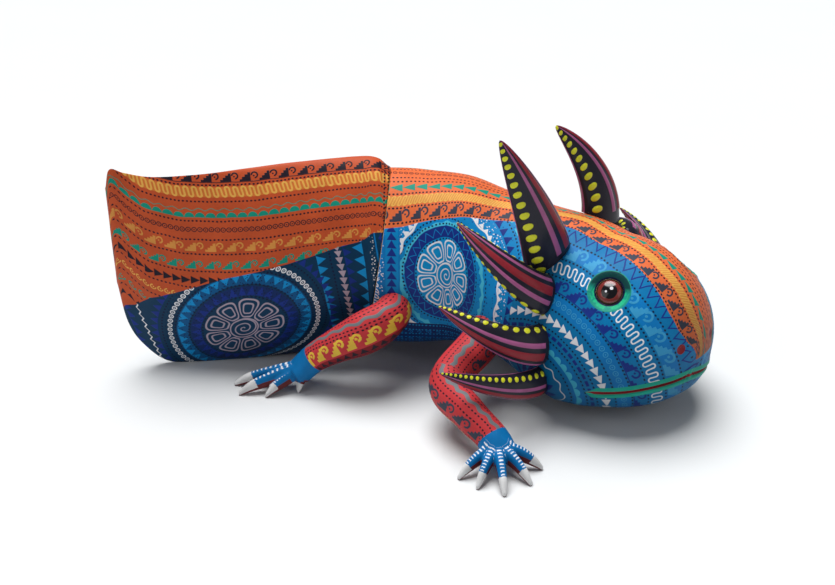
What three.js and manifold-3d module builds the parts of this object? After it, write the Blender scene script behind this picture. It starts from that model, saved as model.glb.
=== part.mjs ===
// Carved and painted wooden axolotl figure, as a kit of plug-together pieces.
//
// Millimetres, +Z up. The animal stands on its four feet and on the lower edge of its tail. It is
// bent in plan: the tail points to -X, the head turns from +X towards -Y. Its right side faces -Y.
// The origin lies on the floor, under the middle of the whole figure.
//
// One carving holds trunk and head. The tail plugs into it with a square tenon, each of the eight
// gills with a round peg, and each leg is pinned by a loose dowel. The eyes are beads in sockets.

import * as THREE from 'three';
import { mergeVertices } from 'three/addons/utils/BufferGeometryUtils.js';
import Module from 'manifold-3d';

const wasm = await Module();
wasm.setup();

// ---------------------------------------------------------------- driving dimensions

const MIDDLE = [1.79, 26.62];    // plan position of the middle of the figure in the carving's own frame
const GAP = 0.35;                // gap between a piece and the face that it seats on
const BORE_GAP = 0.3;            // gap around a peg, dowel or tenon in its hole
const BORE_BOTTOM = 1.0;         // gap under the end of a peg, dowel or tenon

const PEG_RADIUS = 4;            // round peg of a gill
const PEG_DEPTH = 15;            // how far the peg goes into the head
const PEG_ROOT = 9;              // how far the peg reaches up inside the gill

const DOWEL_RADIUS = 4;          // loose dowel between a leg and the trunk
const DOWEL_HALF = 13;           // how far it goes into each of the two
const DOWEL_CHAMFER = 1;

const TENON = { from: -50, to: 12, width: 22, height: 46, z: 64 };   // square tenon of the tail, along X

const EYE_RADIUS = 8;            // bead of an eye
const EYE_DEPTH = 7;             // length of the bead's straight shank
const EYE_DOME = 3.6;            // height of its domed front
const DISH_RADIUS = 12.5;        // dished rim that is carved around the bead
const DISH_DEPTH = 3.6;

const SEAM = { x: -11, z: 135, lean: 8.5 };   // flat seam of trunk and tail: a point on it, degrees it leans
const ROUND = 26;                // facets around trunk and tail
const LIMB_ROUND = 12;           // facets around a leg
const GILL_ROUND = 12;           // facets around a gill
const TOE_ROUND = 6;             // facets around a toe
const PEG_ROUND = 12;            // facets around a peg, a dowel and an eye

// Stations along trunk and head, from the seam to the widest place of the jaw:
// x, y, half width, height of the widest place, top, bottom, squareness above, squareness below.
const TRUNK = [
  [-44, 60, 42, 62, 132, 12, 2.0, 2.2],
  [-12, 60, 45, 62, 132, 10, 2.0, 2.2],
  [12, 60, 48, 62, 130, 11, 2.0, 2.2],
  [37, 58, 49, 62, 127, 13, 2.0, 2.2],
  [62, 51, 52, 58, 119, 13, 1.9, 2.2],
  [87, 39, 58, 50, 114.5, 9, 1.8, 2.2],
  [109, 24, 61, 44, 114.5, 5, 1.8, 2.4],
  [127, 8, 62, 41, 110, 2.4, 1.9, 2.7],
];
const NOSE = { x: 175.5, y: -43, z: 49.5, blunt: 2.2, roof: 2.2, chin: 4.5 };   // where the snout closes

// Stations along the tail, from the seam to the trailing edge, in the same order of numbers.
const TAIL = [
  [20, 60, 45, 62, 120, 10, 1.8, 2.0],
  [-10, 60, 44, 62, 133, 9, 1.7, 1.9],
  [-20, 60, 42.5, 60, 141, 8, 1.6, 1.8],
  [-34, 59, 40, 59, 142.5, 6, 1.6, 1.8],
  [-64, 53, 35, 58, 142.5, 1, 1.5, 1.6],
  [-100, 45, 28, 58, 141, -1, 1.4, 1.5],
  [-138, 38, 19, 60, 139, -1, 1.3, 1.4],
  [-164, 35, 13, 66, 139, 1, 1.3, 1.3],
  [-180, 34, 8, 80, 142, 15, 1.3, 1.3],
  [-189, 33, 5, 92, 145, 34, 1.3, 1.3],
  [-195, 33, 2, 100, 132, 64, 1.4, 1.4],
];
// Gills of the right side, from the crown down: where the base sits on the head, the direction out
// of its peg, the tip, the width and thickness of the base, the direction of its width, and what the
// left one has where it isn't the mirror image.
const GILLS = [
  {
    base: [87.7, -0.7, 100.3], peg: [-0.2, -0.45, 0.87], tip: [53, -25, 189], wide: 34, thick: 17,
    side: [0.8, 0.3, 0.5], left: { peg: [0.05, 0.3, 0.95], tip: [93, 44, 170], side: [0.75, 0.66, 0] },
  },
  {
    base: [85.2, -18, 82.8], peg: [-0.55, -0.65, 0.52], tip: [30, -2, 125], wide: 27, thick: 16,
    side: [0.1, 0.5, 0.87], left: { peg: [0.35, 0.93, 0.1], tip: [76, 100, 62] },
  },
  {
    base: [82, -32.1, 55.3], peg: [-0.66, -0.72, 0.22], tip: [19, -24, 78], wide: 27, thick: 17,
    side: [0, 0.4, 0.9], left: {},
  },
  {
    base: [82.4, -36, 30.5], peg: [-0.6, -0.77, 0.2], tip: [19, -73, 60], wide: 21, thick: 13,
    side: [0, 0.1, 1], left: { tip: [150, 122, 40] },
  },
];

// Legs of the right side: x, y, z, half thickness, half height at each station from hip to palm.
const FORE_LIMB = [
  [62, 16, 50, 14, 16],
  [46, -9, 42, 13, 13],
  [25, -39, 31, 12, 13],
  [37, -63, 25, 10.5, 12],
  [51, -78, 17, 10.5, 9.5],
  [55, -87, 11, 12, 7.5],
];
const HIND_LIMB = [
  [-6, 28, 54, 11, 12],
  [-12, 8, 52, 12, 13.5],
  [-27, 0, 45, 12, 15],
  [-46, 0, 35, 11, 11.5],
  [-61, 3, 24, 10, 9.5],
  [-72, 3, 13, 11, 8.5],
];
const FORE_TOES = [[30, -98], [41, -108], [57, -115], [74, -104], [82, -88]];
const HIND_TOES = [[-116, 6], [-112, -6], [-94, -9], [-73, -4]];
const TOE = { root: 4, knuckle: 5.5, tip: 1.7, tipZ: 1.1, arch: 15 };

const FORE_DOWEL = { at: [54, 2, 48], along: [0.4, 0.9, 0.15] };
const HIND_DOWEL = { at: [-8, 15, 53], along: [0.1, 0.99, 0.05] };

const EYES = {
  right: { at: [122.3, -33.8, 94.3], axis: [-0.25, -0.68, 0.69] },
  left: { at: [173.5, 6.7, 92.7], axis: [0.62, 0.28, 0.73] },
};

const COLOURS = {
  body: 0x1a68ab, tail: 0xbe5f3c, gill: 0x24223a, leg: 0xb14046, wood: 0xd8b98a, eye: 0x1c0f10,
};

// ---------------------------------------------------------------- curves and sections

// A smooth curve through the rows, at row number u.
function spline(rows, u) {
  const last = rows.length - 1;
  const i = Math.min(Math.floor(u), last - 1);
  const f = u - i;
  const [p1, p2] = [rows[i], rows[i + 1]];
  const p0 = i > 0 ? rows[i - 1] : p1.map((v, k) => 2 * v - p2[k]);
  const p3 = i < last - 1 ? rows[i + 2] : p2.map((v, k) => 2 * v - p1[k]);
  return p1.map((v, k) => 0.5 * (2 * v + (p2[k] - p0[k]) * f
    + (2 * p0[k] - 5 * v + 4 * p2[k] - p3[k]) * f * f
    + (3 * v - p0[k] - 3 * p2[k] + p3[k]) * f * f * f));
}

const power = (value, exponent) => Math.sign(value) * Math.abs(value) ** exponent;
const vec = (list) => new THREE.Vector3(...list);

// An upright section: a superellipse across the plan direction, with its own roundness above and below.
function uprightSection(row, direction, count) {
  const [x, y, half, wideZ, top, bottom, above, below] = row;
  const ring = [];
  for (let k = 0; k < count; k += 1) {
    const angle = (2 * Math.PI * k) / count;
    const upper = Math.sin(angle) >= 0;
    const exponent = 2 / (upper ? above : below);
    const across = half * power(Math.cos(angle), exponent);
    const up = power(Math.sin(angle), exponent);
    ring.push(new THREE.Vector3(
      x - direction.y * across,
      y + direction.x * across,
      wideZ + up * (upper ? top - wideZ : wideZ - bottom),
    ));
  }
  return ring;
}

function planDirection(rows, u) {
  const step = 1e-3;
  const a = spline(rows, Math.max(u - step, 0));
  const b = spline(rows, Math.min(u + step, rows.length - 1));
  return new THREE.Vector2(b[0] - a[0], b[1] - a[1]).normalize();
}

const swell = (row, grow) => {
  const [x, y, half, wideZ, top, bottom, ...squareness] = row;
  return [x, y, half + grow, wideZ, top + grow, bottom - grow, ...squareness];
};

// A closed solid through rings of equal count. A ring of one point closes an end to a tip.
function loft(rings) {
  const points = [];
  const faces = [];
  const starts = rings.map((ring) => {
    points.push(...ring);
    return points.length - ring.length;
  });
  for (let i = 0; i + 1 < rings.length; i += 1) {
    const [a, b] = [rings[i].length, rings[i + 1].length];
    const count = Math.max(a, b);
    for (let k = 0; k < count; k += 1) {
      const next = (k + 1) % count;
      const [a0, a1] = [starts[i] + (a > 1 ? k : 0), starts[i] + (a > 1 ? next : 0)];
      const [b0, b1] = [starts[i + 1] + (b > 1 ? k : 0), starts[i + 1] + (b > 1 ? next : 0)];
      if (a > 1) faces.push(a0, a1, b0);
      if (b > 1) faces.push(a1, b1, b0);
    }
  }
  const cap = (ring, start, flip) => {
    if (ring.length < 2) return;
    const centre = points.length;
    points.push(ring.reduce((sum, p) => sum.add(p), new THREE.Vector3()).divideScalar(ring.length));
    for (let k = 0; k < ring.length; k += 1) {
      const pair = [start + k, start + ((k + 1) % ring.length)];
      faces.push(centre, ...(flip ? pair.reverse() : pair));
    }
  };
  cap(rings[0], starts[0], true);
  cap(rings.at(-1), starts.at(-1), false);
  return outward(points, faces);
}

// The mesh of these faces, turned so that they face out.
function outward(points, faces) {
  let volume = 0;
  for (let i = 0; i < faces.length; i += 3) {
    const [a, b, c] = [points[faces[i]], points[faces[i + 1]], points[faces[i + 2]]];
    volume += a.dot(new THREE.Vector3().crossVectors(b, c));
  }
  const index = volume < 0 ? [...faces].reverse() : faces;
  const geometry = new THREE.BufferGeometry().setFromPoints(points);
  geometry.setIndex(index);
  return geometry;
}

// ---------------------------------------------------------------- solids

function solid(geometry) {
  const bare = geometry.clone();
  bare.deleteAttribute('normal');
  bare.deleteAttribute('uv');
  const merged = mergeVertices(bare, 1e-4);
  return new wasm.Manifold(new wasm.Mesh({
    numProp: 3,
    vertProperties: new Float32Array(merged.attributes.position.array),
    triVerts: new Uint32Array(merged.index.array),
  }));
}

function geometryOf(manifold) {
  const mesh = manifold.getMesh();
  const geometry = new THREE.BufferGeometry();
  geometry.setAttribute('position', new THREE.BufferAttribute(mesh.vertProperties, 3));
  geometry.setIndex(new THREE.BufferAttribute(mesh.triVerts, 1));
  return geometry;
}

// A turned piece about the line from `at` along `along`; the profile is [radius, distance] pairs.
function turned(at, along, profile, count = PEG_ROUND) {
  const points = profile.map(([radius, distance]) => new THREE.Vector2(radius, distance));
  const geometry = new THREE.LatheGeometry(points, count);
  const turn = new THREE.Quaternion().setFromUnitVectors(new THREE.Vector3(0, 1, 0), vec(along).normalize());
  geometry.applyMatrix4(new THREE.Matrix4().compose(vec(at), turn, new THREE.Vector3(1, 1, 1)));
  return solid(geometry);
}

const rod = (at, along, radius, from, to) => turned(at, along, [[0, from], [radius, from], [radius, to], [0, to]]);

function box(width, depth, height, centre) {
  return solid(new THREE.BoxGeometry(width, depth, height).translate(...centre));
}

const aboveFloor = (piece) => piece.subtract(box(600, 600, 100, [0, 0, -50]));

// Trunk and head in one carving, grown by `grow` all over.
function trunkSolid(grow = 0) {
  const rows = TRUNK.map((row) => swell(row, grow));
  const rings = [];
  const steps = 4;
  for (let k = 0; k <= steps * (rows.length - 1); k += 1) {
    const u = k / steps;
    const direction = planDirection(rows, u);
    rings.push(uprightSection(spline(rows, u), direction, ROUND));
  }
  rings.push(...snout(rows, grow));
  return solid(loft(rings));
}

// The rings that close the snout in a quarter ellipse, ending in its tip.
function snout(rows, grow) {
  const base = rows.at(-1);
  const ahead = planDirection(rows, rows.length - 1);
  const start = new THREE.Vector2(base[0], base[1]);
  const end = new THREE.Vector2(NOSE.x, NOSE.y);
  const reach = start.distanceTo(end);
  end.add(end.clone().sub(start).normalize().multiplyScalar(grow));
  const knee = start.clone().addScaledVector(ahead, reach / 2);
  const rings = [];
  const steps = 9;
  for (let k = 1; k <= steps; k += 1) {
    const along = Math.sin((k / steps) * (Math.PI / 2));
    const across = Math.cos((k / steps) * (Math.PI / 2));
    const centre = start.clone().multiplyScalar((1 - along) ** 2)
      .addScaledVector(knee, 2 * along * (1 - along)).addScaledVector(end, along ** 2);
    const wideZ = base[3] + (NOSE.z - base[3]) * along;
    if (k === steps) {
      rings.push([new THREE.Vector3(centre.x, centre.y, wideZ)]);
      break;
    }
    const direction = knee.clone().sub(start).multiplyScalar(1 - along)
      .addScaledVector(end.clone().sub(knee), along).normalize();
    const roof = across ** (2 / NOSE.roof);
    const chin = across ** (2 / NOSE.chin);
    const row = [centre.x, centre.y, base[2] * across ** (2 / NOSE.blunt), wideZ,
      wideZ + (base[4] - base[3]) * roof, wideZ - (base[3] - base[5]) * chin, base[6], base[7]];
    rings.push(uprightSection(row, direction, ROUND));
  }
  return rings;
}

const seat = trunkSolid(GAP);

function tenonBox(clearance) {
  const { from, to, width, height, z } = TENON;
  const length = to - from + (clearance > 0 ? BORE_BOTTOM : 0);
  return box(length, width + 2 * clearance, height + 2 * clearance, [from + length / 2, TAIL[0][1], z]);
}

// Everything on one side of the leaning seam: 1 is the trunk's side, -1 the tail's.
function seamSide(way, gap = 0) {
  const size = 600;
  const block = new THREE.BoxGeometry(size, size, size).translate(way * (size / 2 + gap), 0, 0);
  block.rotateY(THREE.MathUtils.degToRad(SEAM.lean)).translate(SEAM.x, TAIL[0][1], SEAM.z);
  return solid(block);
}

function makeBody() {
  let body = trunkSolid().intersect(seamSide(1)).subtract(tenonBox(BORE_GAP));
  for (const { base, peg } of allGills()) {
    body = body.subtract(rod(base, peg, PEG_RADIUS + BORE_GAP, -PEG_DEPTH - BORE_BOTTOM, PEG_DEPTH));
  }
  for (const { at, along } of allDowels()) {
    body = body.subtract(rod(at, along, DOWEL_RADIUS + BORE_GAP, -DOWEL_HALF, DOWEL_HALF + BORE_BOTTOM));
  }
  for (const { at, axis } of Object.values(EYES)) {
    const dishBall = (DISH_RADIUS ** 2 + DISH_DEPTH ** 2) / (2 * DISH_DEPTH);
    const dish = new THREE.SphereGeometry(dishBall, 20, 14);
    dish.translate(...vec(at).addScaledVector(vec(axis).normalize(), dishBall - DISH_DEPTH).toArray());
    body = body.subtract(solid(dish));
    body = body.subtract(rod(at, axis, EYE_RADIUS + BORE_GAP, -DISH_DEPTH - EYE_DEPTH, DISH_DEPTH));
  }
  return body;
}

function makeTail() {
  const rings = [];
  const steps = 3;
  for (let k = 0; k <= steps * (TAIL.length - 1); k += 1) {
    const u = k / steps;
    rings.push(uprightSection(spline(TAIL, u), planDirection(TAIL, u), ROUND));
  }
  return aboveFloor(solid(loft(rings)).intersect(seamSide(-1, GAP)).add(tenonBox(0)));
}

// ---------------------------------------------------------------- gills

const alongPath = (start, knee, end, f) => start.clone().multiplyScalar((1 - f) ** 2)
  .addScaledVector(knee, 2 * f * (1 - f)).addScaledVector(end, f * f);

// A curved horn that leaves the head along its peg and sweeps back to its tip.
function hornRings(gill, sunk = 9) {
  const start = vec(gill.base);
  const end = vec(gill.tip);
  const out = vec(gill.peg).normalize();
  const knee = start.clone().addScaledVector(out, start.distanceTo(end) * 0.42);
  const rings = [];
  const steps = 11;
  for (let k = -1; k <= steps; k += 1) {
    const f = Math.max(k, 0) / steps;
    const ahead = knee.clone().sub(start).multiplyScalar(1 - f).addScaledVector(end.clone().sub(knee), f).normalize();
    const centre = alongPath(start, knee, end, f);
    if (k < 0) centre.addScaledVector(out, -sunk);
    if (k === steps) {
      rings.push([centre]);
      break;
    }
    const taper = 0.16 * Math.sqrt(1 - f ** 6) + 0.84 * (1 - f ** 1.5) ** 0.85;
    const side = vec(gill.side).addScaledVector(ahead, -ahead.dot(vec(gill.side))).normalize();
    const thick = new THREE.Vector3().crossVectors(ahead, side);
    const ring = [];
    for (let j = 0; j < GILL_ROUND; j += 1) {
      const angle = (2 * Math.PI * j) / GILL_ROUND;
      ring.push(centre.clone()
        .addScaledVector(side, (gill.wide / 2) * taper * Math.cos(angle))
        .addScaledVector(thick, (gill.thick / 2) * taper * Math.sin(angle)));
    }
    rings.push(ring);
  }
  return rings;
}

function makeGill(gill) {
  const horn = solid(loft(hornRings(gill))).subtract(seat);
  return horn.add(rod(gill.base, gill.peg, PEG_RADIUS, -PEG_DEPTH, PEG_ROOT));
}

// ---------------------------------------------------------------- legs

function limbRings(rows) {
  const rings = [];
  const steps = 3;
  for (let k = 0; k <= steps * (rows.length - 1); k += 1) {
    const u = k / steps;
    const [x, y, z, half, high] = spline(rows, u);
    const a = spline(rows, Math.max(u - 1e-3, 0));
    const b = spline(rows, Math.min(u + 1e-3, rows.length - 1));
    const ahead = new THREE.Vector3(b[0] - a[0], b[1] - a[1], b[2] - a[2]).normalize();
    const up = new THREE.Vector3(0, 0, 1).addScaledVector(ahead, -ahead.z).normalize();
    const across = new THREE.Vector3().crossVectors(ahead, up);
    const ring = [];
    for (let j = 0; j < LIMB_ROUND; j += 1) {
      const angle = (2 * Math.PI * j) / LIMB_ROUND;
      ring.push(new THREE.Vector3(x, y, z)
        .addScaledVector(across, half * Math.cos(angle)).addScaledVector(up, high * Math.sin(angle)));
    }
    rings.push(ring);
  }
  return rings;
}

// One toe: an upright blade that arches from the palm down to its nail on the floor.
function toeSolid(palm, tip) {
  const start = vec(palm);
  const end = new THREE.Vector3(tip[0], tip[1], TOE.tipZ);
  const rows = [[0, start.z, TOE.root, TOE.knuckle], [0.45, TOE.arch - 4, TOE.root * 0.9, TOE.knuckle * 1.05],
    [0.8, TOE.arch * 0.4, TOE.root * 0.7, TOE.knuckle * 0.85], [1, TOE.tipZ, TOE.tip, TOE.tip]];
  const stations = rows.map(([f, z, half, high]) => {
    const p = start.clone().lerp(end, f);
    return [p.x, p.y, z, half, high];
  });
  const rings = [];
  const steps = 2;
  for (let k = 0; k <= steps * (stations.length - 1); k += 1) {
    const [x, y, z, half, high] = spline(stations, k / steps);
    const across = new THREE.Vector3(start.y - end.y, end.x - start.x, 0).normalize();
    const ring = [];
    for (let j = 0; j < TOE_ROUND; j += 1) {
      const angle = (2 * Math.PI * j) / TOE_ROUND;
      ring.push(new THREE.Vector3(x, y, z + high * Math.sin(angle)).addScaledVector(across, half * Math.cos(angle)));
    }
    rings.push(ring);
  }
  return solid(loft(rings));
}

function makeLeg({ limb, toes, dowel }) {
  const rows = limb;
  let leg = solid(loft(limbRings(rows)));
  const palm = spline(rows, rows.length - 1.4).slice(0, 3);
  for (const tip of toes) leg = leg.add(toeSolid(palm, tip));
  leg = leg.subtract(seat);
  leg = leg.subtract(rod(dowel.at, dowel.along, DOWEL_RADIUS + BORE_GAP, -DOWEL_HALF - BORE_BOTTOM, DOWEL_HALF));
  return aboveFloor(leg);
}

function makeDowel({ at, along }) {
  const [r, h, c] = [DOWEL_RADIUS, DOWEL_HALF, DOWEL_CHAMFER];
  return turned(at, along, [[0, -h], [r - c, -h], [r, c - h], [r, h - c], [r - c, h], [0, h]]);
}

function makeEye({ at, axis }) {
  const profile = [[0, -DISH_DEPTH - EYE_DEPTH + BORE_BOTTOM], [EYE_RADIUS, -DISH_DEPTH - EYE_DEPTH + BORE_BOTTOM]];
  const steps = 5;
  for (let k = 0; k <= steps; k += 1) {
    const angle = (k / steps) * (Math.PI / 2);
    profile.push([EYE_RADIUS * Math.cos(angle), -DISH_DEPTH + 0.4 + EYE_DOME * Math.sin(angle)]);
  }
  profile.at(-1)[0] = 0;
  return turned(at, axis, profile);
}

// ---------------------------------------------------------------- left side

// The upright plane along the spine at the place abreast of a point.
function middlePlane([x, y]) {
  let best = { distance: Infinity };
  for (let u = 0; u <= TRUNK.length - 1; u += 0.01) {
    const [cx, cy] = spline(TRUNK, u);
    const distance = Math.hypot(x - cx, y - cy);
    if (distance < best.distance) best = { distance, u, centre: new THREE.Vector3(cx, cy, 0) };
  }
  const ahead = planDirection(TRUNK, best.u);
  return { centre: best.centre, across: new THREE.Vector3(-ahead.y, ahead.x, 0) };
}

function mirrorDirection({ across }, direction) {
  const d = vec(direction);
  return d.addScaledVector(across, -2 * d.dot(across)).toArray();
}

function mirrorPoint(plane, point) {
  const away = vec(point).sub(plane.centre).toArray();
  return vec(mirrorDirection(plane, away)).add(plane.centre).toArray();
}

function leftGill(gill) {
  const plane = middlePlane(gill.base);
  return {
    ...gill,
    base: mirrorPoint(plane, gill.base),
    peg: mirrorDirection(plane, gill.peg),
    side: mirrorDirection(plane, gill.side),
    tip: mirrorPoint(plane, gill.tip),
    ...gill.left,
  };
}

const rightGills = GILLS;
const leftGills = GILLS.map(leftGill);

function allGills() {
  return [...rightGills, ...leftGills];
}

function leftLeg({ limb, toes, dowel }) {
  const plane = middlePlane(limb[0]);
  return {
    limb: limb.map(([x, y, z, ...size]) => [...mirrorPoint(plane, [x, y, z]), ...size]),
    toes: toes.map(([x, y]) => mirrorPoint(plane, [x, y, 0]).slice(0, 2)),
    dowel: { at: mirrorPoint(plane, dowel.at), along: mirrorDirection(plane, dowel.along) },
  };
}

const fore = { limb: FORE_LIMB, toes: FORE_TOES, dowel: FORE_DOWEL };
const hind = { limb: HIND_LIMB, toes: HIND_TOES, dowel: HIND_DOWEL };
const legs = {
  fore_leg_right: fore,
  fore_leg_left: leftLeg(fore),
  hind_leg_right: hind,
  hind_leg_left: leftLeg(hind),
};

function allDowels() {
  return Object.values(legs).map((leg) => leg.dowel);
}

// ---------------------------------------------------------------- assembly

const figure = new THREE.Group();
figure.position.set(-MIDDLE[0], -MIDDLE[1], 0);

function addPiece(name, manifold, colour, roughness = 0.55) {
  const material = new THREE.MeshStandardMaterial({ color: colour, roughness, metalness: 0 });
  const mesh = new THREE.Mesh(geometryOf(manifold), material);
  mesh.name = name;
  figure.add(mesh);
}

addPiece('body', makeBody(), COLOURS.body);
addPiece('tail', makeTail(), COLOURS.tail);
rightGills.forEach((gill, k) => addPiece(`gill_right_${k + 1}`, makeGill(gill), COLOURS.gill, 0.4));
leftGills.forEach((gill, k) => addPiece(`gill_left_${k + 1}`, makeGill(gill), COLOURS.gill, 0.4));
for (const [name, leg] of Object.entries(legs)) {
  addPiece(name, makeLeg(leg), COLOURS.leg);
  addPiece(name.replace('leg', 'dowel'), makeDowel(leg.dowel), COLOURS.wood, 0.8);
}
for (const [name, eye] of Object.entries(EYES)) addPiece(`eye_${name}`, makeEye(eye), COLOURS.eye, 0.15);

const root = new THREE.Group();
root.add(figure);
root.updateMatrixWorld(true);

export default root;
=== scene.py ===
"""Looks of the carved and painted wooden axolotl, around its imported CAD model.

Lengths in this file are millimetres in the carving's own frame, as in the CAD source. They turn
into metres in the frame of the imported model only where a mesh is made.
"""

import math

import bpy
import numpy as np
from mathutils import Matrix, Vector
from mathutils.kdtree import KDTree


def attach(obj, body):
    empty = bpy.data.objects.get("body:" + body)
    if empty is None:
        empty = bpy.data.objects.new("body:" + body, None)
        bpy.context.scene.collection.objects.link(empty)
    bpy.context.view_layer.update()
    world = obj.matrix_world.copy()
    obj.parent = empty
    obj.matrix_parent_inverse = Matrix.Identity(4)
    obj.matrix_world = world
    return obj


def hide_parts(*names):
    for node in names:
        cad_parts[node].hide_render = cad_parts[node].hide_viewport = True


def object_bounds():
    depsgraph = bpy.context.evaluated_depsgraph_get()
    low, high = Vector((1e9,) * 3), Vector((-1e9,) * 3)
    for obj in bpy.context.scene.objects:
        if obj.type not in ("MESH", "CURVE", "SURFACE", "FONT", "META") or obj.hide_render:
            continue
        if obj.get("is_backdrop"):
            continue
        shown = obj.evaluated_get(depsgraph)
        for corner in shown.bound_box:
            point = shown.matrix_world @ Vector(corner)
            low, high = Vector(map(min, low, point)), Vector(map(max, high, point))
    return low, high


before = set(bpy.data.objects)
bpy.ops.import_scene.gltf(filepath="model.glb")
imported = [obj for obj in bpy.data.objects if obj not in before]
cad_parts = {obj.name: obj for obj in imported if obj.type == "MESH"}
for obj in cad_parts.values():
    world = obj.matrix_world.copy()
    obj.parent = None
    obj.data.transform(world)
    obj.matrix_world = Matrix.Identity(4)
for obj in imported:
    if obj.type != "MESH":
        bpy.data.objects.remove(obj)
CAD_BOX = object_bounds()

# ------------------------------------------------------------------ dimensions, from the CAD

MM = 0.001
PAINTED, BARE = 0, 1     # material slots of a piece: paint, bare wood
MIDDLE = np.array([1.79, 26.62, 0.0])
GAP = 0.35
BORE_GAP = 0.3
BORE_BOTTOM = 1.0
PEG = {"radius": 4.0, "depth": 15.0, "root": 9.0}
DOWEL = {"radius": 4.0, "half": 13.0}
TENON = {"from": -50.0, "to": 12.0, "width": 22.0, "height": 46.0, "y": 60.0, "z": 64.0}
BEAD = {"radius": 8.0, "shank": 7.0, "dome": 3.6}
DISH = {"radius": 12.5, "depth": 3.6}
SEAM = {"x": -11.0, "z": 135.0, "lean": math.radians(8.5)}

# Stations along trunk and head, and along the tail:
# x, y, half width, height of the widest place, top, bottom, squareness above, squareness below.
# The tail's last one is 2 mm short of the CAD's, as its rounded edge is carried on past it.
TRUNK = np.array([
    [-44, 60, 42, 62, 132, 12, 2.0, 2.2],
    [-12, 60, 45, 62, 132, 10, 2.0, 2.2],
    [12, 60, 48, 62, 130, 11, 2.0, 2.2],
    [37, 58, 49, 62, 127, 13, 2.0, 2.2],
    [62, 51, 52, 58, 119, 13, 1.9, 2.2],
    [87, 39, 58, 50, 114.5, 9, 1.8, 2.2],
    [109, 24, 61, 44, 114.5, 5, 1.8, 2.4],
    [127, 8, 62, 41, 110, 2.4, 1.9, 2.7],
])
NOSE = {"x": 175.5, "y": -43.0, "z": 49.5, "blunt": 2.2, "roof": 2.2, "chin": 4.5}
TAIL = np.array([
    [20, 60, 45, 62, 120, 10, 1.8, 2.0],
    [-10, 60, 44, 62, 133, 9, 1.7, 1.9],
    [-20, 60, 42.5, 60, 141, 8, 1.6, 1.8],
    [-34, 59, 40, 59, 142.5, 6, 1.6, 1.8],
    [-64, 53, 35, 58, 142.5, 1, 1.5, 1.6],
    [-100, 45, 28, 58, 141, -1, 1.4, 1.5],
    [-138, 38, 19, 60, 139, -1, 1.3, 1.4],
    [-164, 35, 13, 66, 139, 1, 1.3, 1.3],
    [-180, 34, 8, 80, 142, 15, 1.3, 1.3],
    [-189, 33, 5, 92, 145, 34, 1.3, 1.3],
    [-193, 33, 2, 100, 132, 64, 1.4, 1.4],
])

# Gills of the right side: base, direction of the peg, tip, width and thickness, direction of the
# width, how far the painted rows are turned round it in degrees, and what the left one has instead.
GILLS = [
    {"base": (87.7, -0.7, 100.3), "peg": (-0.2, -0.45, 0.87), "tip": (53, -25, 189),
     "wide": 34, "thick": 17, "side": (0.8, 0.3, 0.5), "turn": 50,
     "left": {"turn": 50, "peg": (0.05, 0.3, 0.95), "tip": (93, 44, 170), "side": (0.75, 0.66, 0)}},
    {"base": (85.2, -18, 82.8), "peg": (-0.55, -0.65, 0.52), "tip": (30, -2, 125),
     "wide": 27, "thick": 16, "side": (0.1, 0.5, 0.87), "turn": 8,
     "left": {"peg": (0.35, 0.93, 0.1), "tip": (76, 100, 62)}},
    {"base": (82, -32.1, 55.3), "peg": (-0.66, -0.72, 0.22), "tip": (19, -24, 78),
     "wide": 27, "thick": 17, "side": (0, 0.4, 0.9), "turn": -35, "left": {}},
    {"base": (82.4, -36, 30.5), "peg": (-0.6, -0.77, 0.2), "tip": (19, -73, 60),
     "wide": 21, "thick": 13, "side": (0, 0.1, 1), "turn": -42, "left": {"tip": (150, 122, 40)}},
]

# Legs of the right side: x, y, z, half thickness, half height, from hip to palm.
FORE = {
    "limb": np.array([
        [62, 16, 50, 14, 16],
        [46, -9, 42, 13, 13],
        [25, -39, 31, 12, 13],
        [37, -63, 25, 10.5, 12],
        [51, -78, 17, 10.5, 9.5],
        [55, -87, 11, 12, 7.5],
    ]),
    "toes": [(30, -98), (41, -108), (57, -115), (74, -104), (82, -88)],
    "dowel": {"at": (54, 2, 48), "along": (0.4, 0.9, 0.15)},
}
HIND = {
    "limb": np.array([
        [-6, 28, 54, 11, 12],
        [-12, 8, 52, 12, 13.5],
        [-27, 0, 45, 12, 15],
        [-46, 0, 35, 11, 11.5],
        [-61, 3, 24, 10, 9.5],
        [-72, 3, 13, 11, 8.5],
    ]),
    "toes": [(-116, 6), (-112, -6), (-94, -9), (-73, -4)],
    "dowel": {"at": (-8, 15, 53), "along": (0.1, 0.99, 0.05)},
}
TOE = {"root": 4.0, "knuckle": 5.5, "tip": 1.7, "tip_z": 1.1, "arch": 15.0}
EYES = {
    "right": {"at": (122.3, -33.8, 94.3), "axis": (-0.25, -0.68, 0.69)},
    "left": {"at": (173.5, 6.7, 92.7), "axis": (0.62, 0.28, 0.73)},
}

# ------------------------------------------------------------------ curves and sections


def unit(vector):
    vector = np.asarray(vector, float)
    return vector / np.linalg.norm(vector, axis=-1, keepdims=True)


def spline(rows, u):
    """A smooth curve through the rows, at row numbers u."""
    rows = np.asarray(rows, float)
    u = np.asarray(u, float)
    last = len(rows) - 1
    i = np.clip(np.floor(u).astype(int), 0, last - 1)
    f = (u - i)[..., None]
    p1, p2 = rows[i], rows[i + 1]
    p0 = np.where((i > 0)[..., None], rows[np.maximum(i - 1, 0)], 2 * p1 - p2)
    p3 = np.where((i < last - 1)[..., None], rows[np.minimum(i + 2, last)], 2 * p2 - p1)
    return 0.5 * (2 * p1 + (p2 - p0) * f + (2 * p0 - 5 * p1 + 4 * p2 - p3) * f**2
                  + (3 * p1 - p0 - 3 * p2 + p3) * f**3)


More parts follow.
